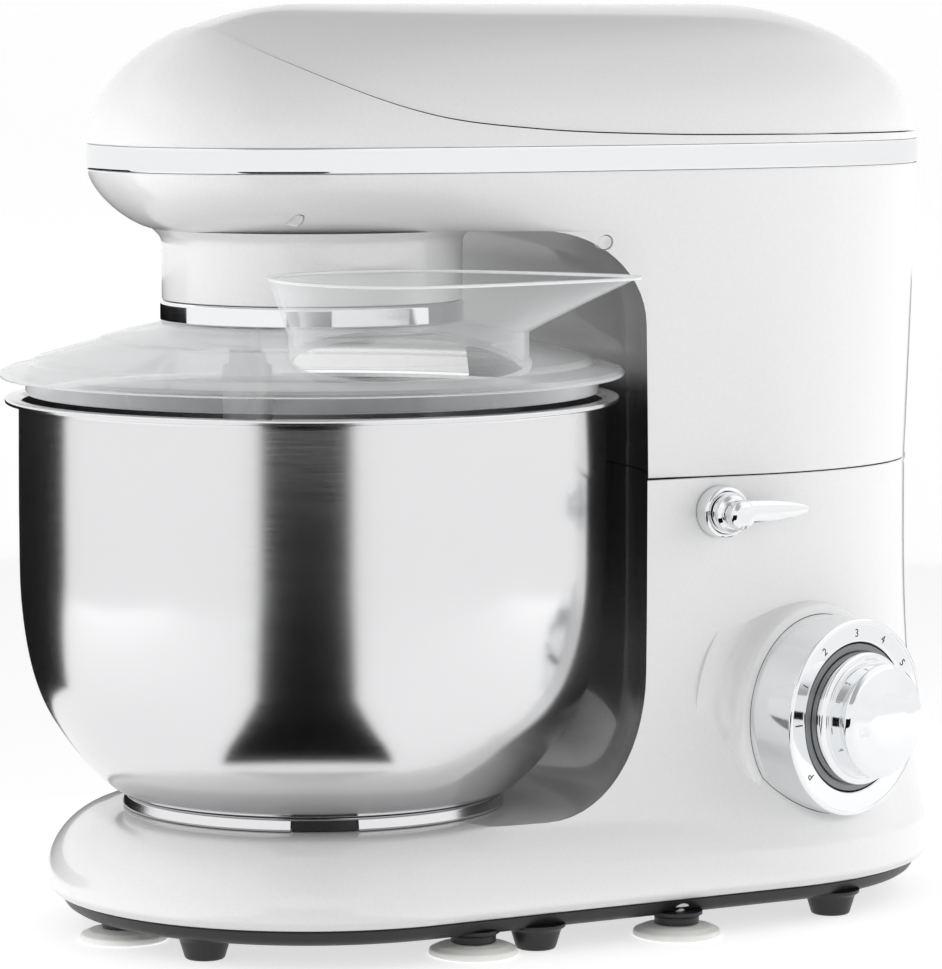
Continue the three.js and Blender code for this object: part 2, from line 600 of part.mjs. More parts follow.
function columnCover() {
  const ring = (z) => neckRing(166.3, WALL + GAP).map(([x, y]) => [x, y, z]);
  return cut(
    loft([ring(166.3), ring(169)]),
    bowlHollow(WALL + GAP),
    block([-40, HINGE_Y - 12, 160], [40, 190, 180]),
    block([SLOT.x[0], SLOT.y[0] - 1, 160], [SLOT.x[1], SLOT.y[1] + 1, 180]),
    ...Array.from({ length: 5 }, (_, i) => block([-28, 90 + i * 8, 160], [28, 94 + i * 8, 180])),
  );
}

function hubCover() {
  const [, ring, top] = HUB_Z;
  const inner = HUB_RADIUS - 3.4;
  const flange = top - GAP;
  return revolve([[inner, ring + GAP], [HUB_RADIUS, ring + GAP], [HUB_RADIUS, flange], [44, flange],
    [44, flange - 3], [inner, flange - 3]]);
}

// The splash lid and the pouring chute.
const CHUTE = { x: 80, y: BOWL_Y, tangential: 44.5, radial: 24 };
function chuteRing(z, grow, spread) {
  const count = 24;
  return Array.from({ length: count }, (_, i) => {
    const turn = (i / count) * 2 * Math.PI;
    const [c, s] = [Math.cos(turn), Math.sin(turn)];
    const round = (v) => Math.sign(v) * Math.pow(Math.abs(v), 0.85);
    const rear = Math.max(0, s) ** 2 * spread;
    const front = Math.max(0, -s) ** 2 * spread;
    const across = (CHUTE.radial + grow + (c > 0 ? 4 : 0) * spread) * round(c) * (1 - 0.45 * rear);
    const along = (CHUTE.tangential + grow) * round(s) + 31.5 * rear - 4.5 * front;
    // The rim rises towards the hub.
    return [CHUTE.x + across + 30 * rear - 9 * front, CHUTE.y + along, z - 0.06 * across * spread];
  });
}
function lid() {
  const skirt = [[104.5, 196.4], [104.5, 202.4], [113.4, 202.4], [114, 203], [114, 203.8]];
  const top = [[112.6, 205], [102.5, 207.4], [100.5, 209.2], [56.2, 221.6], [50, 221.6]];
  const under = [[50, 219.4], [56, 219.4], [99.6, 206.8], [102.8, 205], [102.8, 196.4]];
  const opening = loft([chuteRing(190, -1.4, 0), chuteRing(230, -1.4, 0)]);
  return revolve([...skirt, ...top, ...under], BOWL_Y, 32).subtract(opening);
}
function chute() {
  const collar = (grow) => [chuteRing(200, grow, 0), chuteRing(222, grow, 0)];
  const flare = (grow) => [0, 0.33, 0.7, 1].map((t) => chuteRing(222 + 20 * t, grow, t));
  const outer = loft([...collar(0), ...flare(0).slice(1)]);
  const bore = [chuteRing(190, -1.8, 0), collar(-1.8)[1], ...flare(-1.8).slice(1), chuteRing(246, -1.8, 1)];
  const inner = loft(bore);
  const seat = revolve([[0, 190], [114.5, 190], [114.5, 205.2], [112.6, 205.4], [102.5, 207.8],
    [100.5, 209.6], [56.2, 222], [0, 222.2]], BOWL_Y, 32);
  return cut(outer, inner, seat);
}

add("head_top_cover", topCover(), WHITE);
add("head_visor", visor(), WHITE);
add("trim_band", trimBand(), CHROME);
add("lower_housing", lowerHousing(), WHITE);
add("column_cover", columnCover(), BLACK);
add("hub_cover", hubCover(), WHITE);
add("hub_ring", tube(51, HUB_RADIUS + 0.4, HUB_Z[0], HUB_Z[1], BOWL_Y, 32), CHROME);
add("splash_lid", lid(), CLEAR);
add("pouring_chute", chute(), CLEAR);
for (const [row, plug] of PLUGS.entries())
  for (const side of [1, -1])
    add(`screw_plug_${row * 2 + (side > 0 ? 1 : 2)}`, plugRod(plug, side, PLUG_RADIUS, -3.7, -1.6), WHITE);
for (const side of [1, -1]) {
  const [from, to] = side > 0 ? [12, 19] : [-19, -12];
  const bush = crossRod(5.5, from, to, HINGE_Y, HINGE_Z).subtract(crossRod(3.8, -30, 30, HINGE_Y, HINGE_Z));
  add(side > 0 ? "hinge_bush_right" : "hinge_bush_left", bush, BRONZE);
}

// The drive: a motor in the column, a belt in the head, and the planetary gears in the hub.
const FRAME_Z = [BELLY_Z + WALL + GAP, 264.5];
function gearboxFrame() {
  const shape = new THREE.Shape();
  shape.absarc(0, BOWL_Y, 46, Math.PI, 2 * Math.PI, false);
  shape.absarc(0, MOTOR_Y, 42, 0, Math.PI, false);
  const tower = rod(16, FRAME_Z[0], 283);
  const seat = rod(14, FRAME_Z[0], 270, MOTOR_Y);
  const ribs = [-28, 24].map((x) => block([x, BOWL_Y, 264], [x + 4, MOTOR_Y, 272]));
  const stops = [rod(11.3, 250, 290), rod(9.3, 250, 280, MOTOR_Y)];
  return cut(join(slab(shape, ...FRAME_Z), tower, seat, ...ribs), ...stops);
}
function ringGear() {
  const shape = new THREE.Shape().absarc(0, 0, 50.4, 0, 2 * Math.PI, false);
  shape.holes.push(gearOutline(RING_TEETH, -1));
  return slab(shape, 240, 248, 16).translate([0, BOWL_Y, 0]);
}

// Straight-flanked teeth about the origin. On the ring gear (side -1) they point inwards.
function gearOutline(teeth, side, turn = 0) {
  const pitch = (teeth * GEAR_MODULE) / 2;
  const [tip, root] = [pitch + side * 1.3, pitch - side * 1.75];
  const corners = [[root, -0.36], [tip, -0.17], [tip, 0.17], [root, 0.36]];
  const outline = [];
  for (let i = 0; i < teeth; i++)
    for (const [radius, share] of corners) {
      const angle = turn + ((i + share * 0.82) * 2 * Math.PI) / teeth;
      outline.push(new THREE.Vector2(radius * Math.cos(angle), radius * Math.sin(angle)));
    }
  return new THREE.Shape(outline);
}
const PLANET_Y = BOWL_Y - PLANET_OFFSET;
function planetPinion() {
  // Straight ahead the ring gear has a tooth, so the pinion has a gap there.
  const turn = -Math.PI / 2 + Math.PI / PINION_TEETH;
  const shape = gearOutline(PINION_TEETH, 1, turn);
  return slab(shape, 240, 248).translate([0, PLANET_Y, 0]).subtract(rod(5.3, 230, 260, PLANET_Y));
}
function planetCarrier() {
  const disc = revolve([[0, 224.5], [44, 224.5], [48, 226.5], [48, 237.5], [0, 237.5]]);
  return cut(join(disc, rod(10, 230, 251)), rod(6.3, 229, 260), rod(8.3, 220, 240, PLANET_Y));
}
function mainBearing(bottom) {
  return tube(6.3, 11, bottom, bottom + 7);
}
function pulley(radius, y, bore) {
  const [bottom, top] = BELT_Z;
  const edge = radius + 4;
  const profile = [[bore, bottom - 2.2], [edge, bottom - 2.2], [edge, bottom - 0.8], [radius, bottom - 0.4],
    [radius, top + 0.4], [edge, top + 0.8], [edge, top + 2.2], [bore, top + 2.2]];
  return revolve(profile, y, radius > 20 ? 28 : 12);
}
function driveBelt() {
  // A belt leaves each pulley where the common tangent touches it.
  const lean = Math.asin((LARGE_PULLEY - SMALL_PULLEY) / (MOTOR_Y - BOWL_Y));
  const path = (thickness, clockwise) => {
    const shape = clockwise ? new THREE.Path() : new THREE.Shape();
    shape.absarc(0, BOWL_Y, LARGE_PULLEY + thickness, Math.PI - lean, 2 * Math.PI + lean, false);
    shape.absarc(0, MOTOR_Y, SMALL_PULLEY + thickness, lean, Math.PI - lean, false);
    return shape;
  };
  const outline = path(3.2, false);
  outline.holes.push(path(1, true));
  return slab(outline, ...BELT_Z, 10);
}
function motorStator() {
  const shape = new THREE.Shape();
  for (let i = 0; i < 4; i++) {
    const corner = (i * Math.PI) / 2;
    const [x, y] = [Math.sign(Math.cos(corner + 0.8)) * 30, Math.sign(Math.sin(corner + 0.8)) * 30];
    shape.absarc(x, MOTOR_Y + y, 6, corner, corner + Math.PI / 2, false);
  }
  const windings = [tube(24, 32, 188, 196, MOTOR_Y), tube(24, 32, 238, 243, MOTOR_Y)];
  return cut(join(slab(shape, 195, 239, 3), ...windings), rod(23, 180, 250, MOTOR_Y, 20));
}
function rotor() {
  const low = [[0, 173.5], [4, 173.5], [4, 183], [11, 183], [11, 189], [8, 190], [8, 194], [22, 195]];
  const high = [[22, 238], [8, 240], [4, 241], [4, 299], [0, 299]];
  return revolve([...low, ...high], MOTOR_Y, 16);
}
function motorFan() {
  const blade = block([12, -1.2, 247], [31, 1.2, 254]);
  const blades = Array.from({ length: 6 }, (_, i) => blade.rotate([0, 0, i * 60]).translate([0, MOTOR_Y, 0]));
  return cut(join(tube(4.3, 31, 245.5, 247.5, MOTOR_Y, 18), rod(9, 246, 254, MOTOR_Y), ...blades),
    rod(4.3, 240, 260, MOTOR_Y));
}
function motorBracket() {
  const bar = block([-47, MOTOR_Y - 9, 176.5], [47, MOTOR_Y + 9, 181]);
  const top = FRAME_Z[0] - GAP;
  const legs = [[41, 47], [-47, -41]].map(([a, b]) => block([a, MOTOR_Y - 6, 180], [b, MOTOR_Y + 6, top]));
  const seat = rod(13, 172.5, 181, MOTOR_Y);
  return cut(join(bar, seat, ...legs), rod(9.3, 174, 190, MOTOR_Y), rod(6, 170, 190, MOTOR_Y));
}

// The beater: a cast frame with a middle bar, on the planet shaft.
function beaterShaft() {
  return cut(rod(5, 190, 252, PLANET_Y, 20), crossRod(1.8, -10, 10, PLANET_Y, 199, 12));
}
function beater() {
  const half = [[0, 56], [30, 56], [46, 62], [58, 76], [66, 96], [68, 118], [62, 146], [42, 168], [14, 180]];
  const mirrored = half.toReversed().slice(0, -1).map(([y, z]) => [-y, z]);
  const outline = new THREE.Shape([...half, ...mirrored].map(([y, z]) => new THREE.Vector2(y, z)));
  const openings = [
    [[5, 68], [27, 67], [38, 82], [5, 100]],
    [[46, 80], [56, 100], [57, 118], [50, 134], [5, 112], [42, 92]],
    [[5, 124], [44, 143], [34, 160], [14, 168], [5, 168]],
  ];
  for (const side of [1, -1])
    for (const corners of openings) {
      const hole = corners.map(([y, z]) => new THREE.Vector2(y * side, z));
      outline.holes.push(new THREE.Path(hole));
    }
  const blade = solid(acrossX(outline, 8).translate(-4, PLANET_Y, 0));
  const sleeve = rod(9, 172, 207, PLANET_Y);
  const slot = block([-12, PLANET_Y - 2, 197], [12, PLANET_Y + 2, 210]);
  return cut(join(blade, sleeve), rod(5.3, 189, 220, PLANET_Y), slot);
}

add("gearbox_frame", gearboxFrame(), CAST);
add("main_bearing_lower", mainBearing(260), STEEL);
add("main_bearing_upper", mainBearing(275), STEEL);
add("ring_gear", ringGear(), STEEL);
add("planet_pinion", planetPinion(), STEEL);
add("planet_carrier", planetCarrier(), CAST);
add("planet_bush", tube(5.3, 8, 225.5, 237.5, PLANET_Y), BRONZE);
add("main_shaft", rod(6, 229.3, 300), STEEL);
add("large_pulley", pulley(LARGE_PULLEY, BOWL_Y, 6.3), NYLON);
add("drive_belt", driveBelt(), BLACK);
add("small_pulley", pulley(SMALL_PULLEY, MOTOR_Y, 4.3), STEEL);
add("motor_stator", motorStator(), COPPER);
add("motor_rotor", rotor(), STEEL);
add("motor_fan", motorFan(), BLACK);
add("motor_bracket", motorBracket(), CAST);
add("motor_bearing_lower", tube(4.3, 9, 175, 180.5, MOTOR_Y), STEEL);
add("motor_bearing_upper", tube(4.3, 9, 260, 266, MOTOR_Y), STEEL);
add("beater_shaft", beaterShaft(), STEEL);
add("drive_pin", crossRod(1.5, -8.4, 8.4, PLANET_Y, 199, 12), STEEL);
add("flat_beater", beater(), CAST);

export default mixer;
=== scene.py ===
import json
import math

import bmesh
import bpy
from mathutils import Matrix, Vector

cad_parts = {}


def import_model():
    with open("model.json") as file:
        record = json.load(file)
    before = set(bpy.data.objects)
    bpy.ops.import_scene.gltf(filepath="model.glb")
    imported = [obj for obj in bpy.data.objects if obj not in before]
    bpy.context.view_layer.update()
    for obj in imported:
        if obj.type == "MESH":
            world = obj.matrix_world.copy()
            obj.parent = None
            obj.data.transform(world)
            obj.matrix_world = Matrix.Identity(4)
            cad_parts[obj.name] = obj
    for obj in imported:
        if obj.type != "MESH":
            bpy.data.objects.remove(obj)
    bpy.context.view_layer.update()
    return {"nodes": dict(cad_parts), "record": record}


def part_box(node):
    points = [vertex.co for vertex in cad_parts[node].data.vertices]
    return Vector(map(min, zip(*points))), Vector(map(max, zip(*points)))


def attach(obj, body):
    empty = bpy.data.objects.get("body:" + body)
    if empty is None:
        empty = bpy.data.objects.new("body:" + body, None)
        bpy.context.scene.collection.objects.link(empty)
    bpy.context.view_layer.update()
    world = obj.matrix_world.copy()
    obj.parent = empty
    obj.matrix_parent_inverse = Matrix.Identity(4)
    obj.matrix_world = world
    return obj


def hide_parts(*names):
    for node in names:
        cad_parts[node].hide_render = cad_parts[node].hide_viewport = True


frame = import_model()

MM = 0.001


def box(node):
    """A CAD node's box in millimetres."""
    low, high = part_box(node)
    return Vector(low) / MM, Vector(high) / MM


def middle_of(node):
    low, high = box(node)
    return (low + high) / 2


# Places and sizes, from the frame.
BOWL_LOW, BOWL_HIGH = box("bowl")
BOWL_Y = (BOWL_LOW.y + BOWL_HIGH.y) / 2
BOWL_R = BOWL_HIGH.x
RIM_Z = BOWL_HIGH.z
SHELL_LOW, SHELL_HIGH = box("base_housing")
BAND_LOW, BAND_HIGH = box("trim_band")
HEAD_TOP = box("head_top_cover")[1].z
SKIRT_Z = SHELL_LOW.z
REAR = BAND_HIGH.y
HEAD_Y = (BAND_LOW.y + BAND_HIGH.y) / 2
HEAD_LENGTH = BAND_HIGH.y - HEAD_Y
HEAD_HALF = BAND_HIGH.x
HEAD_ROUNDNESS = 2.6
HUB_R = box("hub_cover")[1].x
HUB_Z = (box("hub_ring")[0].z, box("hub_ring")[1].z, box("hub_cover")[1].z)
FOOT_R = BOWL_Y - SHELL_LOW.y
GAP = 0.3
WALL = 3.0

# Levels of the casing, and how far its edges round inwards: the split between base and head, the foot's top
# and its widest level, the head's flat underside, and the dome's lower edge.
SPLIT_Z = 165.0
PLATEAU_Z = 45.0
BULGE_Z = 20.0
SKIRT_CURL = 4.5
FOOT_ROUND = 25.0
BELLY_Z = HUB_Z[2] + GAP
BELLY_ROUND = 24.0
DOME_Z = BAND_HIGH.z + 0.12

# Where the nose's sides begin to run back into the column's, and over what length.
NOSE_Y = -59.0
NOSE_RUN = 90.0

# The column in plan: its middle, how far it runs to the rear, its half width, how it narrows to the front and
# flares to the foot, where it fades into the foot, and the soft crease where the two meet.
COLUMN_LENGTH = 95.0
COLUMN_HALF = 70.0
COLUMN_Y = REAR - COLUMN_LENGTH
COLUMN_TAPER = 0.04
FLARE_HEIGHT = 135.0
COLUMN_FRONT = -30.0
CREASE = 7.0
CREASE_RUN = 60.0
FOOT_LENGTH = SHELL_HIGH.y - COLUMN_Y
FOOT_HALF = 92.5

# The hollow round the bowl: its radius, the width of its two fillets, and the levels where they begin.
CLEARANCE_R = 123.0
HOLLOW_FOOT = 25.0
HOLLOW_ROOF = 33.0
HOLLOW_LOW_Z = 95.0
HOLLOW_HIGH_Z = 222.0

joints = {joint["name"]: joint for joint in frame["record"]["behaviour"]["joints"]}
HINGE = Vector(joints["head_tilt"]["pos_m"]) / MM
DIAL = Vector(joints["speed_turn"]["pos_m"]) / MM
OUTWARD = -Vector(joints["speed_turn"]["axis"])
LEVER = Vector(joints["lever_turn"]["pos_m"]) / MM
PLANET = Vector(joints["beater_spin"]["pos_m"]) / MM


# Materials.

def material(name, color, roughness, metallic=0.0, **sockets):
    made = bpy.data.materials.new(name)
    made.use_nodes = True
    shader = made.node_tree.nodes["Principled BSDF"]
    shader.inputs["Base Color"].default_value = (*color, 1)
    shader.inputs["Roughness"].default_value = roughness
    shader.inputs["Metallic"].default_value = metallic
    for socket, value in sockets.items():
        shader.inputs[socket.replace("_", " ")].default_value = value
    return made


def noise(made, scale, stretch=(1, 1, 1), detail=3.0):
    """A noise texture in the object's own coordinates, in metres, and its factor output."""
    nodes, links = made.node_tree.nodes, made.node_tree.links
    where = nodes.new("ShaderNodeTexCoord")
    mapping = nodes.new("ShaderNodeMapping")
    mapping.inputs["Scale"].default_value = stretch
    texture = nodes.new("ShaderNodeTexNoise")
    texture.inputs["Scale"].default_value = scale
    texture.inputs["Detail"].default_value = detail
    links.new(where.outputs["Object"], mapping.inputs["Vector"])
    links.new(mapping.outputs["Vector"], texture.inputs["Vector"])
    return texture.outputs["Fac"]


def span(made, source, low, high, start=0.0, end=1.0, shape="LINEAR"):
    """A number that runs from low to high while its source runs from start to end."""
    node = made.node_tree.nodes.new("ShaderNodeMapRange")
    node.interpolation_type = shape
    for socket, value in (("From Min", start), ("From Max", end), ("To Min", low), ("To Max", high)):
        node.inputs[socket].default_value = value
    made.node_tree.links.new(source, node.inputs["Value"])
    return node.outputs["Result"]


def vary(made, socket, source, low, high):
    """Drives a number of the shader between two values."""
    shader = made.node_tree.nodes["Principled BSDF"]
    made.node_tree.links.new(span(made, source, low, high), shader.inputs[socket])


def tint(made, source, dark, light):
    """Drives the base colour between two colours."""
    nodes, links = made.node_tree.nodes, made.node_tree.links
    ramp = nodes.new("ShaderNodeValToRGB")
    ramp.color_ramp.elements[0].position = 0.3
    ramp.color_ramp.elements[1].position = 0.7
    ramp.color_ramp.elements[0].color = (*dark, 1)
    ramp.color_ramp.elements[1].color = (*light, 1)
    links.new(source, ramp.inputs["Fac"])
    links.new(ramp.outputs["Color"], nodes["Principled BSDF"].inputs["Base Color"])


def bump(made, source, strength, distance):
    nodes, links = made.node_tree.nodes, made.node_tree.links
    relief = nodes.new("ShaderNodeBump")
    relief.inputs["Strength"].default_value = strength
    relief.inputs["Distance"].default_value = distance
    links.new(source, relief.inputs["Height"])
    links.new(relief.outputs["Normal"], nodes["Principled BSDF"].inputs["Normal"])


def larger(made, first, second):
    node = made.node_tree.nodes.new("ShaderNodeMath")
    node.operation = "MAXIMUM"
    made.node_tree.links.new(first, node.inputs[0])
    made.node_tree.links.new(second, node.inputs[1])
    return node.outputs["Value"]


def paint_crevice_shade(made, dark, reach, low, high):
    """Paints shade into the base colour: darker where other surfaces stand close by, as ambient occlusion
    finds them, less so on the head and the foot.
    """
    nodes, links = made.node_tree.nodes, made.node_tree.links
    base = nodes["Principled BSDF"].inputs["Base Color"]
    pearl = base.links[0].from_socket
    openness = nodes.new("ShaderNodeAmbientOcclusion")
    openness.samples = 32
    openness.inputs["Distance"].default_value = reach * MM
    open_share = span(made, openness.outputs["AO"], 0, 1, low, high, "SMOOTHSTEP")
    where = nodes.new("ShaderNodeTexCoord")
    split = nodes.new("ShaderNodeSeparateXYZ")
    links.new(where.outputs["Object"], split.inputs["Vector"])
    # Heights in metres over which the painted shade fades out: from the split up to the head, and from the
    # column's front down to the foot.
    head_lift = span(made, split.outputs["Z"], 0, 0.85, 0.185, 0.25)
    foot_lift = span(made, split.outputs["Z"], 0, 0.8, 0.062, 0.046)
    light = larger(made, open_share, larger(made, head_lift, foot_lift))
    mix = nodes.new("ShaderNodeMix")
    mix.data_type = "RGBA"
    mix.inputs["A"].default_value = (*dark, 1)
    links.new(light, mix.inputs["Factor"])
    links.new(pearl, mix.inputs["B"])
    links.new(mix.outputs["Result"], base)


def pearl_white(name, with_painted_shade):
    made = material(name, (0.82, 0.82, 0.82), 0.2, Coat_Weight=0.5, Coat_Roughness=0.04)
    tint(made, noise(made, 900, detail=2), (0.8, 0.8, 0.803), (0.825, 0.825, 0.825))
    if with_painted_shade:
        # Painted shade: a near-black mixed into the base colour in crevices, such as the hollow between the
        # column and the bowl.
        paint_crevice_shade(made, (0.015, 0.015, 0.017), 60, 0.08, 0.6)
    vary(made, "Roughness", noise(made, 60), 0.17, 0.25)
    bump(made, noise(made, 350), 0.012, 0.0002)
    return made


def chrome():
    made = material("chrome_plate", (0.86, 0.87, 0.88), 0.06, 1.0)
    vary(made, "Roughness", noise(made, 120), 0.04, 0.09)
    return made


def polished_steel():
    made = material("bowl_steel", (0.78, 0.78, 0.79), 0.16, 1.0, Anisotropic=0.4)
    rings = noise(made, 40, (1, 1, 60), 4)
    vary(made, "Roughness", rings, 0.12, 0.2)
    bump(made, noise(made, 50, (0.6, 0.6, 90), 5), 0.02, 0.0001)
    return made


def machined_steel():
    made = material("machined_steel", (0.55, 0.56, 0.57), 0.3, 1.0)
    vary(made, "Roughness", noise(made, 300), 0.22, 0.4)
    bump(made, noise(made, 400), 0.1, 0.0001)
    return made


def cast_aluminium():
    made = material("cast_aluminium", (0.62, 0.62, 0.63), 0.4, 1.0)
    vary(made, "Roughness", noise(made, 200), 0.34, 0.5)
    bump(made, noise(made, 500), 0.25, 0.0002)
    return made


def black_plastic():
    made = material("black_plastic", (0.012, 0.012, 0.013), 0.4)
    vary(made, "Roughness", noise(made, 300), 0.33, 0.5)
    bump(made, noise(made, 1500), 0.15, 0.0001)
    return made


def grey_plastic():
    made = material("dial_grey", (0.22, 0.225, 0.23), 0.3, 0.4)
    vary(made, "Roughness", noise(made, 300), 0.24, 0.38)
    return made


def silicone():
    made = material("clear_silicone", (0.93, 0.93, 0.9), 0.35, Subsurface_Weight=0.2, Alpha=0.8)
    made.node_tree.nodes["Principled BSDF"].inputs["Subsurface Radius"].default_value = (0.004, 0.004, 0.003)
    vary(made, "Roughness", noise(made, 200), 0.32, 0.5)
    return made


def clear_plastic(name, face_on, edge_on):
    """Thin clear plastic: seen through face on, and bright where it turns edge on, where its pale white grows
    opaque as a painted sheen.
    """
    made = material(name, (0.9, 0.91, 0.92), 0.05, IOR=1.5)
    facing = made.node_tree.nodes.new("ShaderNodeLayerWeight")
    facing.inputs["Blend"].default_value = 0.3
    vary(made, "Alpha", facing.outputs["Facing"], face_on, edge_on)
    vary(made, "Roughness", noise(made, 80), 0.03, 0.08)
    return made


def plain(name, color, roughness, metallic=0.0):
    made = material(name, color, roughness, metallic)
    vary(made, "Roughness", noise(made, 300), roughness * 0.8, min(1, roughness * 1.25))
    bump(made, noise(made, 600), 0.1, 0.0001)
    return made


WHITE = pearl_white("pearl_white", False)
# A copy of the white with painted shade in its crevices.
SHADE_PAINTED_WHITE = pearl_white("pearl_white_painted_shade", True)
CHROME = chrome()
STEEL = polished_steel()
MACHINED = machined_steel()
CAST = cast_aluminium()
BLACK = black_plastic()
GREY = grey_plastic()
SILICONE = silicone()
CLEAR = clear_plastic("clear_plastic", 0.05, 0.6)
LID = clear_plastic("clear_lid", 0.15, 1.0)
# Painted highlight: an opaque pale white for the bright rim of the clear chute.
RIM_HIGHLIGHT = plain("painted_rim_highlight", (0.9, 0.91, 0.92), 0.12)
NYLON = plain("nylon", (0.72, 0.7, 0.62), 0.45)
BRONZE = plain("sintered_bronze", (0.45, 0.3, 0.12), 0.4, 1.0)
COPPER = plain("enamelled_copper", (0.5, 0.2, 0.08), 0.3, 1.0)
BOARD = plain("circuit_board", (0.02, 0.14, 0.05), 0.45)
INK = plain("dial_ink", (0.02, 0.02, 0.02), 0.4)


# Mesh helpers.

def piece(name, points, faces, look, body, slot, *nodes, sharp=32, place=None):
    """A mesh object from points in millimetres, riding on a body and standing for CAD nodes."""
    mesh = bpy.data.meshes.new(name)
    spots = [Vector(p) for p in points]
    if place:
        spots = [place @ p for p in spots]
    mesh.from_pydata([tuple(p * MM) for p in spots], [], faces)
    made = bmesh.new()
    made.from_mesh(mesh)
    bmesh.ops.remove_doubles(made, verts=made.verts, dist=1e-7)
    bmesh.ops.recalc_face_normals(made, faces=made.faces)
    made.to_mesh(mesh)
    made.free()
    obj = bpy.data.objects.new(name, mesh)
    bpy.context.scene.collection.objects.link(obj)
    dress(obj, look, body, nodes, sharp)
    return obj


def dress(obj, look, body, nodes, sharp=32):
    obj.data.materials.clear()
    obj.data.materials.append(look)
    shade(obj, sharp)
    if body:
        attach(obj, body)
    if nodes:
        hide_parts(*nodes)


def shade(obj, sharp):
    obj.data.shade_smooth()
    obj.data.set_sharp_from_angle(angle=math.radians(sharp))


def applied(obj):
    """A new mesh from an object as its modifiers leave it."""
    return bpy.data.meshes.new_from_object(obj.evaluated_get(bpy.context.evaluated_depsgraph_get()))


def combine(obj, others, operation):
    """Cuts, joins or intersects a mesh with helper meshes, which are then removed."""
    for other in others:
        step = obj.modifiers.new("step", "BOOLEAN")
        step.operation = operation
        step.solver = "EXACT"
        step.object = other
        result = applied(obj)
        obj.modifiers.clear()
        obj.data = result
        bpy.data.objects.remove(other)
    return obj


def loft(rings, capped=True, looped=False):
    """Points and faces of a skin through rings of equal count."""
    count = len(rings[0])
    points = [p for ring in rings for p in ring]
    faces = []
    for k in range(len(rings) - (0 if looped else 1)):
        low, high = k * count, ((k + 1) % len(rings)) * count
        faces += [(low + i, low + (i + 1) % count, high + (i + 1) % count, high + i) for i in range(count)]
    if capped and not looped:
        faces.append(tuple(range(count))[::-1])
        faces.append(tuple(range(len(points) - count, len(points))))
    return points, faces


def circle(count):
    """The angles of points spread evenly round a circle."""
    return [2 * math.pi * i / count for i in range(count)]


def revolve(profile, segments=144, y=None, x=0.0, looped=None):
    """Points and faces of a profile of (radius, height) turned about a vertical axis."""
    y = BOWL_Y if y is None else y
    looped = profile[0][0] > 0 if looped is None else looped
    turns = circle(segments)
    rings = [[(x + r * math.sin(t), y - r * math.cos(t), z) for t in turns] for r, z in profile]
    return loft(rings, capped=False, looped=looped)


def fillet(corners, steps=5):
    """Rounds the corners of a profile. A corner is (radius, height) or (radius, height, rounding)."""
    profile = []
    for i, corner in enumerate(corners):
        here = Vector(corner[:2])
        if len(corner) < 3 or i in (0, len(corners) - 1):
            profile.append(tuple(here))
            continue
        before = Vector(corners[i - 1][:2]) - here
        after = Vector(corners[i + 1][:2]) - here
        half = before.angle(after) / 2
        back = min(corner[2] / math.tan(half), before.length * 0.49, after.length * 0.49)
        start, end = here + before.normalized() * back, here + after.normalized() * back
        # A point on the straight beside each arc keeps the flat faces flat when they are shaded.
        if before.length > 2 * back + 1:
            profile.append(tuple(start + before.normalized() * 0.2))
        for k in range(steps + 1):
            t = k / steps
            profile.append(tuple(start * (1 - t) ** 2 + here * 2 * t * (1 - t) + end * t * t))
        if after.length > 2 * back + 1:
            profile.append(tuple(end + after.normalized() * 0.2))
    return profile


def helper(points, faces, place=None):
    """A mesh used only to cut or join another."""
    return piece("helper", points, faces, WHITE, None, None, place=place)


def rod(axis_point, direction, radius, start, end, segments=48):
    """A cutting cylinder along a direction."""
    turn = Vector((0, 0, 1)).rotation_difference(Vector(direction)).to_matrix().to_4x4()
    place = Matrix.Translation(Vector(axis_point)) @ turn
    return helper(*revolve([(0, start), (radius, start), (radius, end), (0, end)], segments, 0), place)


# Outlines of the casing, as in the frame's solids but finer.

def lerp(a, b, t):
    return a + (b - a) * t


def clamp(t):
    return min(1.0, max(0.0, t))


def smoothstep(t):
    t = clamp(t)
    return t * t * (3 - 2 * t)


def rounding(share, exponent):
    """How far an edge has moved inwards at a share of its height."""
    return 1 - max(0, 1 - share ** exponent) ** (1 / exponent)


def oval(distance, length, half, exponent=2):
    share = min(1, abs(distance) / length)
    return half * (1 - share ** exponent) ** (1 / exponent)


def smooth_max(a, b, blend):
    if blend <= 0 or abs(a - b) >= blend:
        return max(a, b)
    return max(a, b) + (blend - abs(a - b)) ** 2 / (4 * blend)


def smooth_line(points, count):
    """A centripetal curve through points, resampled."""
    spots = [Vector((*p, 0)) if len(p) == 2 else Vector(p) for p in points]
    spots = [spots[0] * 2 - spots[1], *spots, spots[-1] * 2 - spots[-2]]
    line = []
    for i in range(1, len(spots) - 2):
        a, b, c, d = spots[i - 1:i + 3]
        knots = [0.0]
        for p, q in ((a, b), (b, c), (c, d)):
            knots.append(knots[-1] + max(1e-6, (q - p).length) ** 0.5)
        for k in range(count):
            t = lerp(knots[1], knots[2], k / count)
            ab = a.lerp(b, (t - knots[0]) / (knots[1] - knots[0]))
            bc = b.lerp(c, (t - knots[1]) / (knots[2] - knots[1]))
            cd = c.lerp(d, (t - knots[2]) / (knots[3] - knots[2]))
            abc = ab.lerp(bc, (t - knots[0]) / (knots[2] - knots[0]))
            bcd = bc.lerp(cd, (t - knots[1]) / (knots[3] - knots[1]))
            line.append(abc.lerp(bcd, (t - knots[1]) / (knots[2] - knots[1])))
    return line + [spots[-2]]


def column_flare(z):
    return clamp((SPLIT_Z - z) / FLARE_HEIGHT) ** 3


def column_rear(z):
    return COLUMN_Y + lerp(COLUMN_LENGTH, FOOT_LENGTH, column_flare(z))


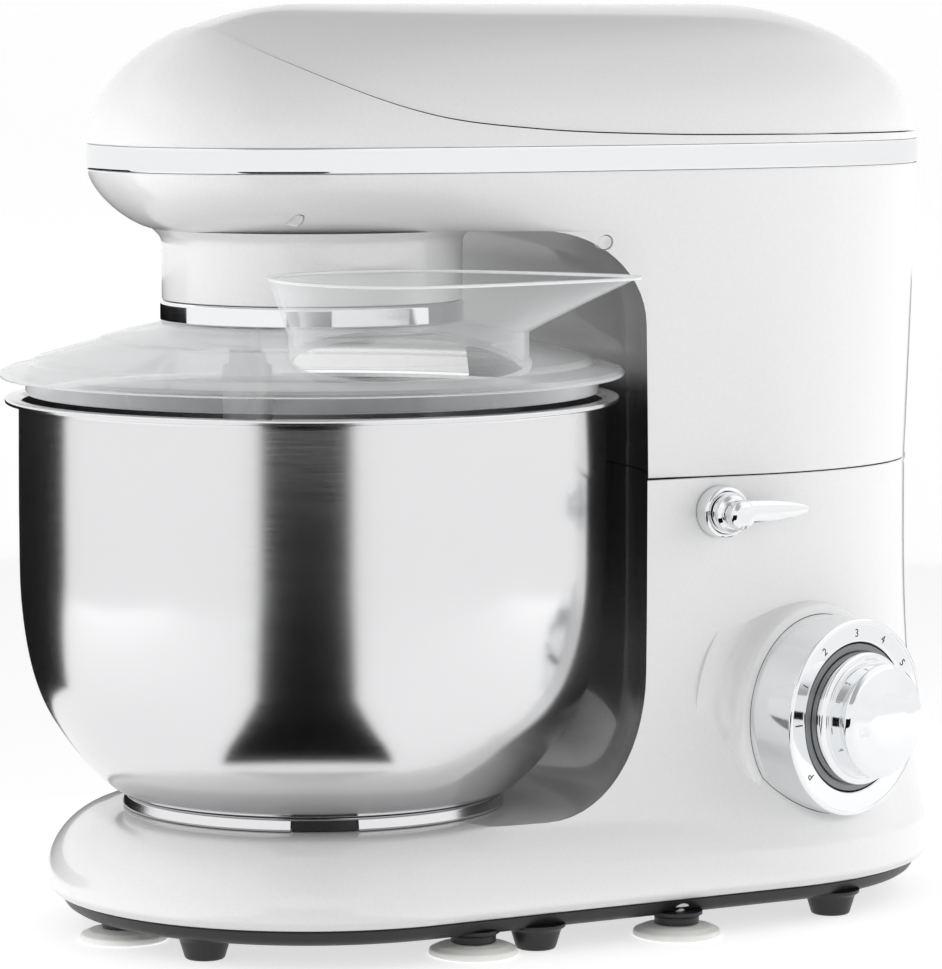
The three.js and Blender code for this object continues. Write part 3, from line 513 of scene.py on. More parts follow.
def column_half(y, z, inset):
    half = lerp(COLUMN_HALF, FOOT_HALF, column_flare(z)) - inset
    if y > COLUMN_Y:
        return oval(y - COLUMN_Y, column_rear(z) - COLUMN_Y - inset, half)
    return half - (COLUMN_Y - y) * COLUMN_TAPER


def foot_edge(z):
    return FOOT_ROUND * rounding(clamp((z - BULGE_Z) / (PLATEAU_Z - BULGE_Z)), 1.9)


def skirt_curl(z):
    """How far the lower edge of the foot has curled in."""
    return SKIRT_CURL * rounding(clamp((BULGE_Z - z) / (BULGE_Z - SKIRT_Z)), 2)


def foot_half(y, inset):
    if y < BOWL_Y:
        return oval(y - BOWL_Y, FOOT_R - inset, FOOT_R - inset)
    if y > COLUMN_Y:
        return oval(y - COLUMN_Y, FOOT_LENGTH - inset, FOOT_HALF - inset)
    return lerp(FOOT_R, FOOT_HALF, (y - BOWL_Y) / (COLUMN_Y - BOWL_Y)) - inset


def housing_half(y, z, inset):
    """Half width of the foot and the column together, with a soft crease where they meet."""
    inset += skirt_curl(z)
    foot = foot_half(y, foot_edge(z) + inset)
    column = column_half(y, z, inset) - 0.02 * max(0, COLUMN_FRONT - y) ** 2
    return max(0, smooth_max(foot, column, CREASE * smoothstep((COLUMN_Y - y) / CREASE_RUN)))


def head_half(y, inset):
    return oval(y - HEAD_Y, HEAD_LENGTH - inset, HEAD_HALF - inset, HEAD_ROUNDNESS)


def belly_inset(z):
    return BELLY_ROUND * rounding(clamp((BAND_LOW.z - z) / (BAND_LOW.z - BELLY_Z)), 1.5)


def casing_half(y, z, inset):
    """Below the band the sides of the nose run back into the sides of the column."""
    nose = head_half(y, belly_inset(z) + inset)
    rise = clamp((z - SPLIT_Z) / (BAND_LOW.z - SPLIT_Z))
    wide = lerp(column_half(y, SPLIT_Z, inset), head_half(y, inset), rise)
    return lerp(nose, wide, smoothstep((y - NOSE_Y) / NOSE_RUN))


def plan_ring(front, rear, z, half, steps=72):
    """A ring at one height, symmetric about x = 0."""
    right = []
    for i in range(1, steps):
        y = (front + rear) / 2 - (rear - front) / 2 * math.cos(math.pi * i / steps)
        right.append((half(y), y, z))
    left = [(-x, y, z) for x, y, z in reversed(right)]
    return [(0, front, z), *right, (0, rear, z), *left]


def housing_ring(z, inset=0.0, steps=96):
    front = BOWL_Y - FOOT_R + foot_edge(z) + skirt_curl(z) + inset
    rear = column_rear(z) - skirt_curl(z) - inset
    return plan_ring(front, rear, z, lambda y: housing_half(y, z, inset), steps)


def casing_ring(z, inset=0.0, steps=96):
    front = HEAD_Y - HEAD_LENGTH + belly_inset(z) + inset
    return plan_ring(front, REAR - inset, z, lambda y: casing_half(y, z, inset), steps)


def head_ring(z, inset, steps=96):
    front, rear = HEAD_Y - HEAD_LENGTH + inset, HEAD_Y + HEAD_LENGTH - inset
    return plan_ring(front, rear, z, lambda y: head_half(y, inset), steps)


def dome_ring(angle, inset, steps=72):
    """A ring of the dome over the band, an ellipse in section, from its edge up to a ridge."""
    curve = HEAD_HALF * (1 - math.cos(angle)) + inset * math.cos(angle)
    z = DOME_Z + (HEAD_TOP + 0.8 - DOME_Z - inset) * math.sin(angle)
    reach = HEAD_LENGTH - curve
    return plan_ring(HEAD_Y - reach, HEAD_Y + reach, z, lambda y: head_half(y, curve), steps)


def bowl_hollow(inset=0.0, top=None, segments=256, steps=14):
    """The hollow round the bowl, with a fillet onto the foot and another under the head."""
    top = BELLY_Z + 0.2 if top is None else top
    profile = [(0, PLATEAU_Z - inset)]
    for i in range(steps + 1):
        turn = i / steps * math.pi / 2
        radius = CLEARANCE_R + inset - HOLLOW_FOOT * (1 - math.sin(turn))
        profile.append((radius, HOLLOW_LOW_Z - (HOLLOW_LOW_Z - PLATEAU_Z + inset) * math.cos(turn)))
    for i in range(steps + 1):
        turn = i / steps * math.pi / 2
        radius = CLEARANCE_R + inset - HOLLOW_ROOF * (1 - math.cos(turn))
        profile.append((radius, HOLLOW_HIGH_Z + (top + inset - HOLLOW_HIGH_Z) * math.sin(turn)))
    profile.append((0, top + inset))
    return helper(*revolve(profile, segments))


def heights(*stops):
    """Heights between stops: (from, to, count) spans, ends included once."""
    levels = []
    for low, high, count in stops:
        levels += [lerp(low, high, i / count) for i in range(count + 1)]
    return sorted(set(round(z, 4) for z in levels))


def cross_rod(radius, start, end, y, z, segments=64):
    return rod((0, y, z), (1, 0, 0), radius, start, end, segments)


def lengthwise_rod(radius, start, end, x, z, segments=64):
    return rod((x, 0, z), (0, 1, 0), radius, start, end, segments)


def block(low, high):
    """A cutting box between two corners."""
    (x0, y0, z0), (x1, y1, z1) = low, high
    rings = [[(x0, y0, z), (x1, y0, z), (x1, y1, z), (x0, y1, z)] for z in (z0, z1)]
    return helper(*loft(rings))


# The base: the white foot and column, the black plate under it, and the feet.

def dial_place():
    """The dial's frame: x to the rear, y up, z outwards along the knob's axis."""
    rearward = Vector((-OUTWARD.y, OUTWARD.x, 0))
    turn = Matrix((rearward, (0, 0, 1), OUTWARD)).transposed().to_4x4()
    return Matrix.Translation(DIAL) @ turn


DIAL_PLACE = dial_place()
BEZEL_R = 36.4
EAR = (20.0, 25.0)
SLOT = ((50.0, 50.0), (59.0, 88.0))
INLET_Z = middle_of("cord_inlet").z


def dial_rod(radius, start, end, segments=128):
    profile = [(0, start), (radius, start), (radius, end), (0, end)]
    return helper(*revolve(profile, segments, 0), DIAL_PLACE)


def dial_pad():
    """A raised seat on the column's flank, which the bezel stands in."""
    slope = [(50, -14.4), (46, -12.2), (43.2, -9.6), (41.6, -6), (40.7, -2.6), (39.6, -0.6), (38, 0)]
    side = [(p.x, p.y) for p in smooth_line(slope, 6)]
    profile = [(0, -18), (50, -18), *side, (0, 0)]
    return helper(*revolve(profile, 128, 0), DIAL_PLACE)


def base_housing():
    """The foot and the column below the split, hollow, with the hinge's ears and every bore."""
    levels = heights((SKIRT_Z + 0.25, SKIRT_Z + 1, 3), (SKIRT_Z + 1, BULGE_Z, 6), (BULGE_Z, PLATEAU_Z, 22),
                     (PLATEAU_Z, 130, 28), (130, SPLIT_Z - 0.3, 6))
    rings = [housing_ring(SKIRT_Z, 0.3), *[housing_ring(z) for z in levels], housing_ring(SPLIT_Z, 0.3)]
    # The white with painted shade in its crevices.
    shell = piece("base_shell", *loft(rings), SHADE_PAINTED_WHITE, "base", "white_shell", "base_housing")
    combine(shell, [dial_pad()], "UNION")
    rough = heights((10, PLATEAU_Z - WALL, 8), (PLATEAU_Z - WALL, SPLIT_Z - WALL, 10))
    inner = helper(*loft([housing_ring(z, WALL, 48) for z in rough]))
    combine(inner, [bowl_hollow(WALL, 300, 96, 6)], "DIFFERENCE")
    combine(shell, [bowl_hollow(0, 300), inner], "DIFFERENCE")
    trough = cross_rod(12.6, -22.6, 22.6, HINGE.y, HINGE.z)
    ears = []
    for start in (EAR[0], -EAR[1]):
        ear = cross_rod(8, start, start + 5, HINGE.y, HINGE.z)
        post = block((start, HINGE.y - 12, SPLIT_Z - 18), (start + 5, HINGE.y + 7, SPLIT_Z))
        ears.append(combine(ear, [post], "UNION"))
    combine(trough, [block((-30, 100, SPLIT_Z), (30, 200, 200))], "DIFFERENCE")
    outline = [[(x, y, z) for x, y, _ in housing_ring(SPLIT_Z, 0, 48)] for z in (140, 178)]
    for part in (trough, *ears):
        combine(part, [helper(*loft(outline))], "INTERSECT")
    combine(shell, [trough, *ears], "UNION")
    bores = [
        cross_rod(9.6, -19.6, 19.6, HINGE.y, HINGE.z),
        cross_rod(3.8, -40, 40, HINGE.y, HINGE.z),
        block((*SLOT[0], 150), (*SLOT[1], 180)),
        dial_rod(BEZEL_R + 0.15, -30, 40),
        cross_rod(6.3, 40, 90, LEVER.y, LEVER.z),
        rod((0, BOWL_Y, 0), (0, 0, 1), 59.4, 30, 60, 128),
        lengthwise_rod(9.3, 174, 190, 0, INLET_Z),
        lengthwise_rod(6.3, 140, 190, 0, INLET_Z),
    ]
    combine(shell, bores, "DIFFERENCE")
    shade(shell, 30)


def foot_ring(z, inset, steps=72):
    front, rear = BOWL_Y - FOOT_R + inset, COLUMN_Y + FOOT_LENGTH - inset
    return plan_ring(front, rear, z, lambda y: foot_half(y, inset), steps)


FEET = [tuple(middle_of(f"suction_foot_{i}"))[:2] for i in range(1, 6)]
LEGS = [(side * x, y) for x, y in ((45, -133), (82, -19.8), (73, 109)) for side in (1, -1)]
PLATE_Z = 7.8
CUP_TOP = 4.3


def base_plate():
    """The black bottom plate, with its legs, the suction feet's bosses, and vent slots."""
    top = SKIRT_Z - GAP
    edge = [(PLATE_Z, 12.5), (PLATE_Z + 0.2, 10.8), (PLATE_Z + 0.8, 8.9), (PLATE_Z + 1.8, 7.4),
            (PLATE_Z + 3, 6.5), (top - 0.5, 5.2), (top, 5.6)]
    rings = [foot_ring(z, inset) for z, inset in edge]
    plate = piece("trim_plate", *loft(rings), BLACK, "base", "black_plastic", "base_plate")
    well = [foot_ring(z, 12) for z in (PLATE_Z + 3, SKIRT_Z + 2)]
    combine(plate, [helper(*loft(well))], "DIFFERENCE")
    low = PLATE_Z + 1.5
    under = CUP_TOP + GAP
    leg = fillet([(0, 0), (7, 0, 1.4), (9.2, PLATE_Z - 0.6, 2), (10.8, PLATE_Z + 0.4, 1), (10.8, low),
                  (0, low)])
    boss = fillet([(0, under), (8, under, 0.5), (8.2, PLATE_Z - 0.4, 1), (9.4, PLATE_Z + 0.3), (9.4, low),
                   (0, low)])
    added = [helper(*revolve(leg, 64, y, x)) for x, y in LEGS]
    added += [helper(*revolve(boss, 64, y, x)) for x, y in FEET]
    combine(plate, added, "UNION")
    holes = [rod((x, y, 0), (0, 0, 1), 3.4, 3, 20, 32) for x, y in FEET]
    vents = [block((-35, 60 + i * 10, 5), (35, 64 + i * 10, 30)) for i in range(5)]
    combine(plate, holes + vents, "DIFFERENCE")
    shade(plate, 30)


def suction_foot(i, x, y):
    """A soft translucent cup with a rounded rim, hung from its boss on a stem with a barbed head."""
    head = PLATE_Z + 3.3
    cup = fillet([(0, 1.8), (8, 1.5), (14.6, 0, 0.4), (16, 0.5, 0.8), (15.8, 2.4, 1.2), (12.6, 3.8, 3),
                  (8.6, CUP_TOP, 0.5), (3, CUP_TOP)], 5)
    stem = fillet([(3, head), (5, head, 0.3), (4.2, head + 1.9, 0.8), (0, head + 1.9)], 4)
    piece(f"suction_cup_{i}", *revolve(cup + stem, 96, y, x), SILICONE, "base", "clear_rubber",
          f"suction_foot_{i}")


base_housing()
base_plate()
for number, (foot_x, foot_y) in enumerate(FEET, 1):
    suction_foot(number, foot_x, foot_y)


def cord_inlet():
    profile = fillet([(4, 160), (6, 160, 0.4), (6, 174.3), (9, 174.3, 0.3), (9, 177, 0.8), (7, 177, 0.5),
                      (6.4, 176.2, 0.4), (4.4, 176.6, 0.4), (4, 176)], 4)
    place = Matrix.Translation((0, 0, INLET_Z)) @ Matrix.Rotation(math.radians(-90), 4, "X")
    piece("inlet_grommet", *revolve(profile, 64, 0), BLACK, "base", "black_plastic", "cord_inlet",
          place=place)


cord_inlet()


# The speed dial.

def bezel():
    outside = [(6, -12), (BEZEL_R, -12), (BEZEL_R, 19.3, 1.0), (35.6, 20, 0.4), (34.9, 20, 0.3),
               (34.6, 19.4, 0.2)]
    inside = [(28.1, 19.4, 0.4), (27.7, 18.9, 0.2), (27.7, -9), (6, -9)]
    profile = fillet(outside + inside, 6)
    piece("bezel_shell", *revolve(profile, 192, 0), CHROME, "base", "chrome", "speed_bezel",
          place=DIAL_PLACE)


DIAL_FACE = 19.4


def lettering(name, text, angle, size=4.2, radius=31.1):
    """A character printed on the bezel's face, its top outwards, at an angle clockwise from 9 o'clock."""
    curve = bpy.data.curves.new(name, "FONT")
    curve.body = text
    curve.size = size * MM
    curve.align_x = "CENTER"
    curve.align_y = "CENTER"
    curve.extrude = 0.03 * MM
    source = bpy.data.objects.new(name, curve)
    bpy.context.scene.collection.objects.link(source)
    mesh = applied(source)
    bpy.data.objects.remove(source)
    turn = math.radians(180 - angle)
    spot = Vector((radius * math.cos(turn), radius * math.sin(turn), DIAL_FACE + 0.04)) * MM
    place = Matrix.Translation(DIAL * MM) @ DIAL_PLACE.to_3x3().to_4x4()
    mesh.transform(place @ Matrix.Translation(spot) @ Matrix.Rotation(turn - math.pi / 2, 4, "Z"))
    digit = bpy.data.objects.new(name, mesh)
    bpy.context.scene.collection.objects.link(digit)
    dress(digit, INK, "base", ())


def knob():
    skirt = fillet([(5.3, -6), (27.2, -6), (27.2, 19.1, 0.5), (24.8, 19.1, 0.2), (24.8, 18.2),
                    (5.3, 18.2)], 5)
    piece("knob_ring", *revolve(skirt, 160, 0), GREY, "speed_knob", "dial_grey", "knob_skirt",
          place=DIAL_PLACE)
    collar = [(5.3, 18.5), (24.4, 18.5), (24.4, 24.0, 1.4), (22.6, 24.8, 0.6), (21.2, 24.3, 0.4)]
    dome = [(21, 32.4, 1.2), (19.4, 34.4, 3), (10, 36.4, 20), (0, 37)]
    profile = [(0, 26), (5.3, 26), *fillet(collar + dome, 8)]
    cap = piece("knob_crown", *revolve(profile, 192, 0), CHROME, "speed_knob", "chrome", "knob_cap",
                place=DIAL_PLACE)
    # A round dimple near the cap's edge marks the setting.
    turn, offset, ball_r = math.radians(191), 14.8, 4.4
    centre = DIAL_PLACE @ Vector((offset * math.cos(turn), offset * math.sin(turn), 39.2))
    ball = []
    for i in range(17):
        step = math.pi * i / 16
        ball.append((ball_r * math.sin(step), -ball_r * math.cos(step)))
    dimple = helper(*revolve(ball, 64, 0))
    dimple.data.transform(Matrix.Translation(centre * MM))
    combine(cap, [dimple], "DIFFERENCE")
    shade(cap, 28)


bezel()
for mark, degrees in (("P", -38), ("1", 27), ("2", 56), ("3", 90), ("4", 118), ("5", 145), ("6", 172)):
    lettering(f"dial_mark_{mark}", mark, degrees)
lettering("dial_mark_dash", "I", 0, 5.5)
knob()


# The release lever: a round boss, a leaf that tapers to a point, and a domed cap on its hub.

def crosswise():
    """Turns a profile's vertical axis to lie along X through the lever's axis."""
    return Matrix.Translation((0, LEVER.y, LEVER.z)) @ Matrix.Rotation(math.radians(90), 4, "Y")


def lever():
    flange = fillet([(4.3, 64.5), (6, 64.5), (6, 69.9), (9.4, 69.9), (9.4, 76.1, 0.9), (8.4, 76.8, 0.5),
                     (7.6, 76.3, 0.3), (4.3, 76.3)], 5)
    piece("lever_boss", *revolve(flange, 96, 0), CHROME, "base", "chrome", "lever_bush", place=crosswise())
    # The leaf's half height and thickness along its length, from the hub to the tip.
    sections = []
    length = box("release_lever")[1].y - LEVER.y
    for i in range(41):
        t = i / 40
        half = 4.4 * (1 - t ** 2.8) ** 0.65
        deep = 2.3 * (1 - t ** 3) ** 0.7
        middle = Vector((79.6, LEVER.y + 1 + (length - 0.6) * t, LEVER.z + 0.2))
        section = []
        for turn in circle(32):
            section.append((middle.x + deep * math.cos(turn), middle.y, middle.z + half * math.sin(turn)))
        sections.append(section)
    leaf = helper(*loft(sections))
    hub = fillet([(0, 50), (4, 50), (4, 77.1), (7, 77.1, 0.5), (7, 80.4, 1.2), (5.6, 82, 0.4), (0, 82)], 5)
    arm = piece("lever_arm", *revolve(hub, 96, 0), CHROME, "release_lever", "chrome", "release_lever",
                place=crosswise())
    combine(arm, [leaf], "UNION")
    shade(arm, 35)
    cap = fillet([(0, 82.3), (4.6, 82.3, 0.3), (5.4, 84.4, 1.2), (5.4, 87.6, 2), (3.4, 89.2, 1.6),
                  (0, 89.4)], 6)
    piece("lever_button", *revolve(cap, 96, 0), CHROME, "release_lever", "chrome", "lever_cap",
          place=crosswise())


lever()


# The bowl: a spun wall with a rolled rim, on a foot ring with a window at each bayonet lug.

BOWL_WALL = [(66, 50.2), (71.4, 51), (82.5, 60.4), (92.4, 73), (98.8, 84), (103.4, 98), (106.6, 120),
             (107.2, 150), (107, 191)]


def bowl():
    wall = [(p.x, p.y) for p in smooth_line(BOWL_WALL, 7)]
    rim = fillet([(107, 191.2), (107.1, 192.9, 1), (BOWL_R - 1, 192.9, 0.5), (BOWL_R, 193.2, 0.6),
                  (BOWL_R, RIM_Z, 0.9), (107.2, RIM_Z, 0.8), (105.9, 193.6, 0.8), (105.8, 191)], 5)
    inner = [(r - 1.2, z + 0.6) for r, z in reversed(wall[:-1])]
    profile = [(0, 50.2), *wall, *rim, *inner, (60, 51.6), (0, 51.6)]
    piece("bowl_shell", *revolve(profile, 256), STEEL, "bowl", "bowl_steel", "bowl", sharp=40)


LUGS = (98, 218, 338)


def sector(inner, outer, bottom, top, middle, span, steps=16):
    """Points and faces of a sector of a ring about the bowl's axis, with angles in degrees."""
    sections = []
    for i in range(steps + 1):
        angle = math.radians(middle - span / 2 + span * i / steps)
        corners = [(inner, bottom), (outer, bottom), (outer, top), (inner, top)]
        sections.append([(r * math.cos(angle), BOWL_Y + r * math.sin(angle), z) for r, z in corners])
    return loft(sections)


def bowl_foot():
    low = box("bowl_foot_ring")[0].z
    profile = fillet([(66.6, low), (70, low, 0.4), (70.2, low + 0.8, 0.3), (69.3, 49.2, 0.6), (68.6, 49.8),
                      (66.6, 49.8)], 4)
    ring = piece("bowl_foot", *revolve(profile, 256), STEEL, "bowl", "bowl_steel", "bowl_foot_ring")
    windows = [helper(*sector(64, 74, low - 1, 49.2, angle, 20)) for angle in LUGS]
    combine(ring, windows, "DIFFERENCE")
    lugs = [helper(*sector(58.5, 67.4, low, 47, angle, 26)) for angle in LUGS]
    combine(ring, lugs, "UNION")
    shade(ring, 30)
    # Painted shade: a black insert fills each window, standing in for the shade seen through it.
    for i, angle in enumerate(LUGS, 1):
        shade_insert = sector(67.6, 68.9, low + 0.2, 49, angle, 19.4)
        piece(f"bowl_window_shade_{i}", *shade_insert, BLACK, "bowl", "black_plastic")


bowl()
bowl_foot()


# The head.

def seam_cutter(shift):
    """The region above the seam between the visor and the top cover, as a prism across the head."""
    seam = [(-119.5, 338), (-113, 325), (-87, 309), (-56, 298), (-18, 293), (30, 290.6), (90, 289.8),
            (200, 289.6)]
    line = [(p.x, p.y + shift) for p in smooth_line(seam, 10)]
    outline = [(-119.5, 400), *line, (200, 400)]
    return helper(*loft([[(x, y, z) for y, z in outline] for x in (-120, 120)]))


def head_shells():
    """The dome, cut at the seam into the visor and a top cover that lies a little deeper."""
    angles = [math.pi / 2 * (i / 40) ** 0.9 for i in range(41)]

    def dome(inset, coarse=False):
        steps, picks = (40, angles[::4]) if coarse else (88, angles)
        rings = [dome_ring(a, inset, steps) for a in picks]
        if not coarse:
            rings = [dome_ring(0, inset + 0.25, steps), dome_ring(0.006, inset, steps), *rings[1:]]
        return loft(rings)

    for name, node, inset, operation, shift in (
            ("top_cover_shell", "head_top_cover", 0.8, "INTERSECT", 0.25),
            ("visor_shell", "head_visor", 0.0, "DIFFERENCE", -0.2)):
        shell = piece(name, *dome(inset), WHITE, "head", "white_shell", node)
        combine(shell, [seam_cutter(shift)], operation)
        mouth = dome_ring(0, inset + WALL, 40)
        floor = [[(x, y, z) for x, y, _ in mouth] for z in (DOME_Z - 5, DOME_Z + 0.01)]
        core = helper(*dome(inset + WALL, True))
        combine(core, [helper(*loft(floor))], "UNION")
        combine(shell, [core], "DIFFERENCE")
        shade(shell, 30)


def trim_band():
    low, high = BAND_LOW.z, BAND_HIGH.z
    section = [(low, 0.4), (low + 0.15, 0.18), (low + 0.4, 0.05), (low + 0.8, 0), (low + 1, 0),
               (low + 1.3, 0)]
    section += [(high + low - z, inset) for z, inset in reversed(section)] + [(high, 3), (low, 3)]
    rings = [head_ring(z, inset, 120) for z, inset in section]
    piece("chrome_band", *loft(rings, looped=True), CHROME, "head", "chrome", "trim_band")


PLUGS = [tuple(middle_of(f"screw_plug_{i}")) for i in range(1, 5)]
POCKET_R = 2.75


def head_casing():
    """The casing between the split and the band, hollow, with the hinge's knuckle in its middle."""
    top = BAND_LOW.z - 0.12
    levels = heights((SPLIT_Z + 0.7, 250, 24), (250, BELLY_Z, 2), (BELLY_Z, BELLY_Z + 2, 10),
                     (BELLY_Z + 2, top - 0.4, 22))
    rings = [casing_ring(SPLIT_Z + 0.45, 0.3), *[casing_ring(z) for z in levels], casing_ring(top, 0.2)]
    # The white with painted shade in its crevices.
    shell = piece("casing_shell", *loft(rings), SHADE_PAINTED_WHITE, "head", "white_shell", "lower_housing")
    rough = [160, 190, 230, 252, BELLY_Z + WALL, 263, 269, 280]
    inner = helper(*loft([casing_ring(z, WALL, 48) for z in rough]))
    combine(inner, [bowl_hollow(WALL, None, 96, 6)], "DIFFERENCE")
    combine(shell, [bowl_hollow(0), inner], "DIFFERENCE")
    knuckle = cross_rod(9, -19, 19, HINGE.y, HINGE.z)
    web = block((-19, HINGE.y - 7, HINGE.z), (19, HINGE.y + 9, 188))
    outline = [[(x, y, z) for x, y, _ in housing_ring(SPLIT_Z, 0, 48)] for z in (150, 190)]
    combine(knuckle, [web], "UNION")
    combine(knuckle, [helper(*loft(outline))], "INTERSECT")
    combine(shell, [knuckle], "UNION")
    pockets = []
    for x, y, z in PLUGS:
        start, end = sorted((x, x + math.copysign(14, x)))
        pockets.append(cross_rod(POCKET_R, start, end, y, z))
    room = [cross_rod(8.6, 19.4, 32, HINGE.y, HINGE.z), cross_rod(8.6, -32, -19.4, HINGE.y, HINGE.z)]
    bore = [cross_rod(5.8, -30, 30, HINGE.y, HINGE.z), rod((0, BOWL_Y, 0), (0, 0, 1), 49, 250, 262, 128)]
    combine(shell, pockets + room + bore, "DIFFERENCE")
    shade(shell, 30)


def screw_plug(i, x, y, z):
    """A plug set a little below the casing's side, with a dish in its face."""
    section = [(2.5, 3.5), (2.5, 0.8), (2.3, 0.7), (1.9, 0.8), (1.3, 1.05), (0.6, 1.2), (0.05, 1.25)]
    rings = []
    for radius, depth in section:
        spots = [(y + radius * math.cos(a), z + radius * math.sin(a)) for a in circle(40)]
        rings.append([(math.copysign(casing_half(u, v, 0) - depth, x), u, v) for u, v in spots])
    piece(f"plug_{i}", *loft(rings), WHITE, "head", "white_shell", f"screw_plug_{i}")


head_shells()
trim_band()
head_casing()
for number, spot in enumerate(PLUGS, 1):
    screw_plug(number, *spot)


def hub():
    """The hub under the nose, which flares out to meet the head, and the chrome ring at its lower end."""
    inner, top = HUB_R - 3.4, HUB_Z[2]
    seat = BELLY_Z + 0.15
    low = HUB_Z[1] + GAP
    cover = fillet([(inner, low), (HUB_R - 0.2, low, 0.5), (HUB_R, seat - 3.4, 4), (HUB_R + 3.4, seat),
                    (44, seat), (44, top - 3), (inner, top - 3)], 6)
    piece("hub_shell", *revolve(cover, 192), WHITE, "head", "white_shell", "hub_cover")
    outer = HUB_R + 0.4
    ring = fillet([(51, HUB_Z[0]), (outer - 1, HUB_Z[0], 0.4), (outer, HUB_Z[0] + 1, 0.8),
                   (outer, HUB_Z[1] - 0.8, 0.7), (outer - 0.8, HUB_Z[1], 0.4), (51, HUB_Z[1])], 5)
    piece("hub_trim", *revolve(ring, 192), CHROME, "head", "chrome", "hub_ring")


hub()


# The splash lid and its pouring chute, moulded in clear plastic.

CHUTE_X = 80.0


def chute_ring(z, grow, spread, count=128):
    """An oval about the chute's middle, which spreads into a boat with one long tip to the rear."""
    ring = []
    for i in range(count):
        turn = i / count * 2 * math.pi
        c, s = math.cos(turn), math.sin(turn)
        rear = max(0, s) ** 2 * spread
        front = max(0, -s) ** 2 * spread
        radial = 24 + grow + (4 * spread if c > 0 else 0) * abs(c) ** 0.5
        across = radial * math.copysign(abs(c) ** 0.85, c) * (1 - 0.45 * rear)
        along = (44.5 + grow) * math.copysign(abs(s) ** 0.85, s) + 31.5 * rear - 4.5 * front
        x = CHUTE_X + across + 30 * rear - 9 * front
        ring.append((x, BOWL_Y + along, z - 0.06 * across * spread))
    return ring


LID_TOP = [(114, 203.8, 0.5), (112.6, 205, 0.6), (102.9, 207.2, 0.6), (102.2, 208.2, 0.5),
           (100.8, 209.2, 0.8), (78, 215.6, 0.5), (77.4, 216.6, 0.5), (76.4, 216.9, 0.5),
           (57.2, 221.6, 1.2), (54.5, 222.4, 0.6)]


def splash_lid():
    skirt = [(103, 196.4), (104.5, 196.4, 0.6), (104.5, 202.4, 0.4), (113.4, 202.4, 0.5), (114, 203, 0.4)]
    tube = [(51.6, 222.4, 0.6), (50, 221.6, 0.5), (50, 219.4, 0.4)]
    under = [(56, 219.2, 1), (76, 214.4, 0.4), (99.6, 206.8, 1), (102.8, 205, 0.8), (102.8, 196.6, 0.3),
             (103, 196.4)]
    profile = fillet(skirt + LID_TOP + tube + under, 4)
    lid = piece("lid_shell", *revolve(profile, 256), LID, "head", "clear_plastic", "splash_lid")
    opening = helper(*loft([chute_ring(190, -1.4, 0), chute_ring(230, -1.4, 0)]))
    combine(lid, [opening], "DIFFERENCE")
    shade(lid, 30)


def chute():
    """The chute: a collar that stands on the lid, and a boat-shaped mouth above it."""
    wall = 1.6

    def flare(grow):
        spans = [i / 24 for i in range(1, 25)]
        return [chute_ring(222 + 20 * t, grow, t) for t in spans]

    collar = [(199, 1.0), (211.5, 1.0), (212.2, 0.8), (212.6, 0.2), (213, 0), (222, 0)]
    outer = [chute_ring(z, grow, 0) for z, grow in collar] + flare(0)
    bore = [chute_ring(190, -wall, 0), chute_ring(222, -wall, 0), *flare(-wall), chute_ring(246, -wall, 1)]
    body = piece("chute_shell", *loft(outer), CLEAR, "head", "clear_plastic", "pouring_chute")
    seat = [(0, 190), (114.5, 190), (114.5, 205.4), (112.6, 205.5), (103.5, 207.6), (101, 209.8),
            (78.4, 216.4), (77.6, 217.2), (57.4, 222), (0, 223)]
    combine(body, [helper(*loft(bore)), helper(*revolve(seat, 192))], "DIFFERENCE")
    shade(body, 30)


def chute_rim():
    """The chute's rounded rim, an opaque pale bead that is a painted highlight for the light the clear rim
    catches all the way round.
    """
    bead = 0.6
    path = [Vector(p) for p in chute_ring(241.3, -0.8, 1, 160)]
    middle = sum(path, Vector()) / len(path)
    sections = []
    for i, spot in enumerate(path):
        along = (path[(i + 1) % len(path)] - path[i - 1]).normalized()
        out = along.cross(Vector((0, 0, 1)))
        out = out if out.dot(spot - middle) > 0 else -out
        section = []
        for turn in circle(12):
            section.append(tuple(spot + out * bead * math.cos(turn) + Vector((0, 0, bead * math.sin(turn)))))
        sections.append(section)
    piece("chute_bead", *loft(sections, looped=True), RIM_HIGHLIGHT, "head", "clear_plastic")


splash_lid()
chute()
chute_rim()


# The beater and the planet carrier, seen when the head is up.

def flat_beater():
    top = box("flat_beater")[1].z
    slot_depth = 10.0
    half = [(0, 56), (30, 56), (46, 62), (58, 76), (66, 96), (68, 118), (62, 146), (42, 168), (14, 180)]
    right = [(p.x, p.y) for p in smooth_line(half, 6)]
    outline = right + [(-y, z) for y, z in reversed(right[1:])]
    windows = [
        [(5, 68), (27, 67), (38, 82), (5, 100)],
        [(46, 80), (56, 100), (57, 118), (50, 134), (5, 112), (42, 92)],
        [(5, 124), (44, 143), (34, 160), (14, 168), (5, 168)],
    ]

    def slab(shape, depth):
        return loft([[(x, PLANET.y + y, z) for y, z in shape] for x in (-depth, depth)])

    frame_piece = piece("beater_frame", *slab(outline, 4), CAST, "beater", "cast_aluminium", "flat_beater")
    cutters = []
    for window in windows:
        for side in (1, -1):
            rounded = fillet([(y * side, z, 3.0) for y, z in [window[-1], *window, window[0]]], 5)
            cutters.append(helper(*slab(rounded[1:-1], 20)))
    combine(frame_piece, cutters, "DIFFERENCE")
    soften(frame_piece, 1.8)
    sleeve = fillet([(0, 172), (9, 172, 3), (9, top, 1), (0, top)], 5)
    combine(frame_piece, [helper(*revolve(sleeve, 64, PLANET.y))], "UNION")
    slot = block((-12, PLANET.y - 2, top - slot_depth), (12, PLANET.y + 2, top + 5))
    bore = rod((0, PLANET.y, 0), (0, 0, 1), 5.3, 189, 230)
    combine(frame_piece, [bore, slot], "DIFFERENCE")
    shade(frame_piece, 40)


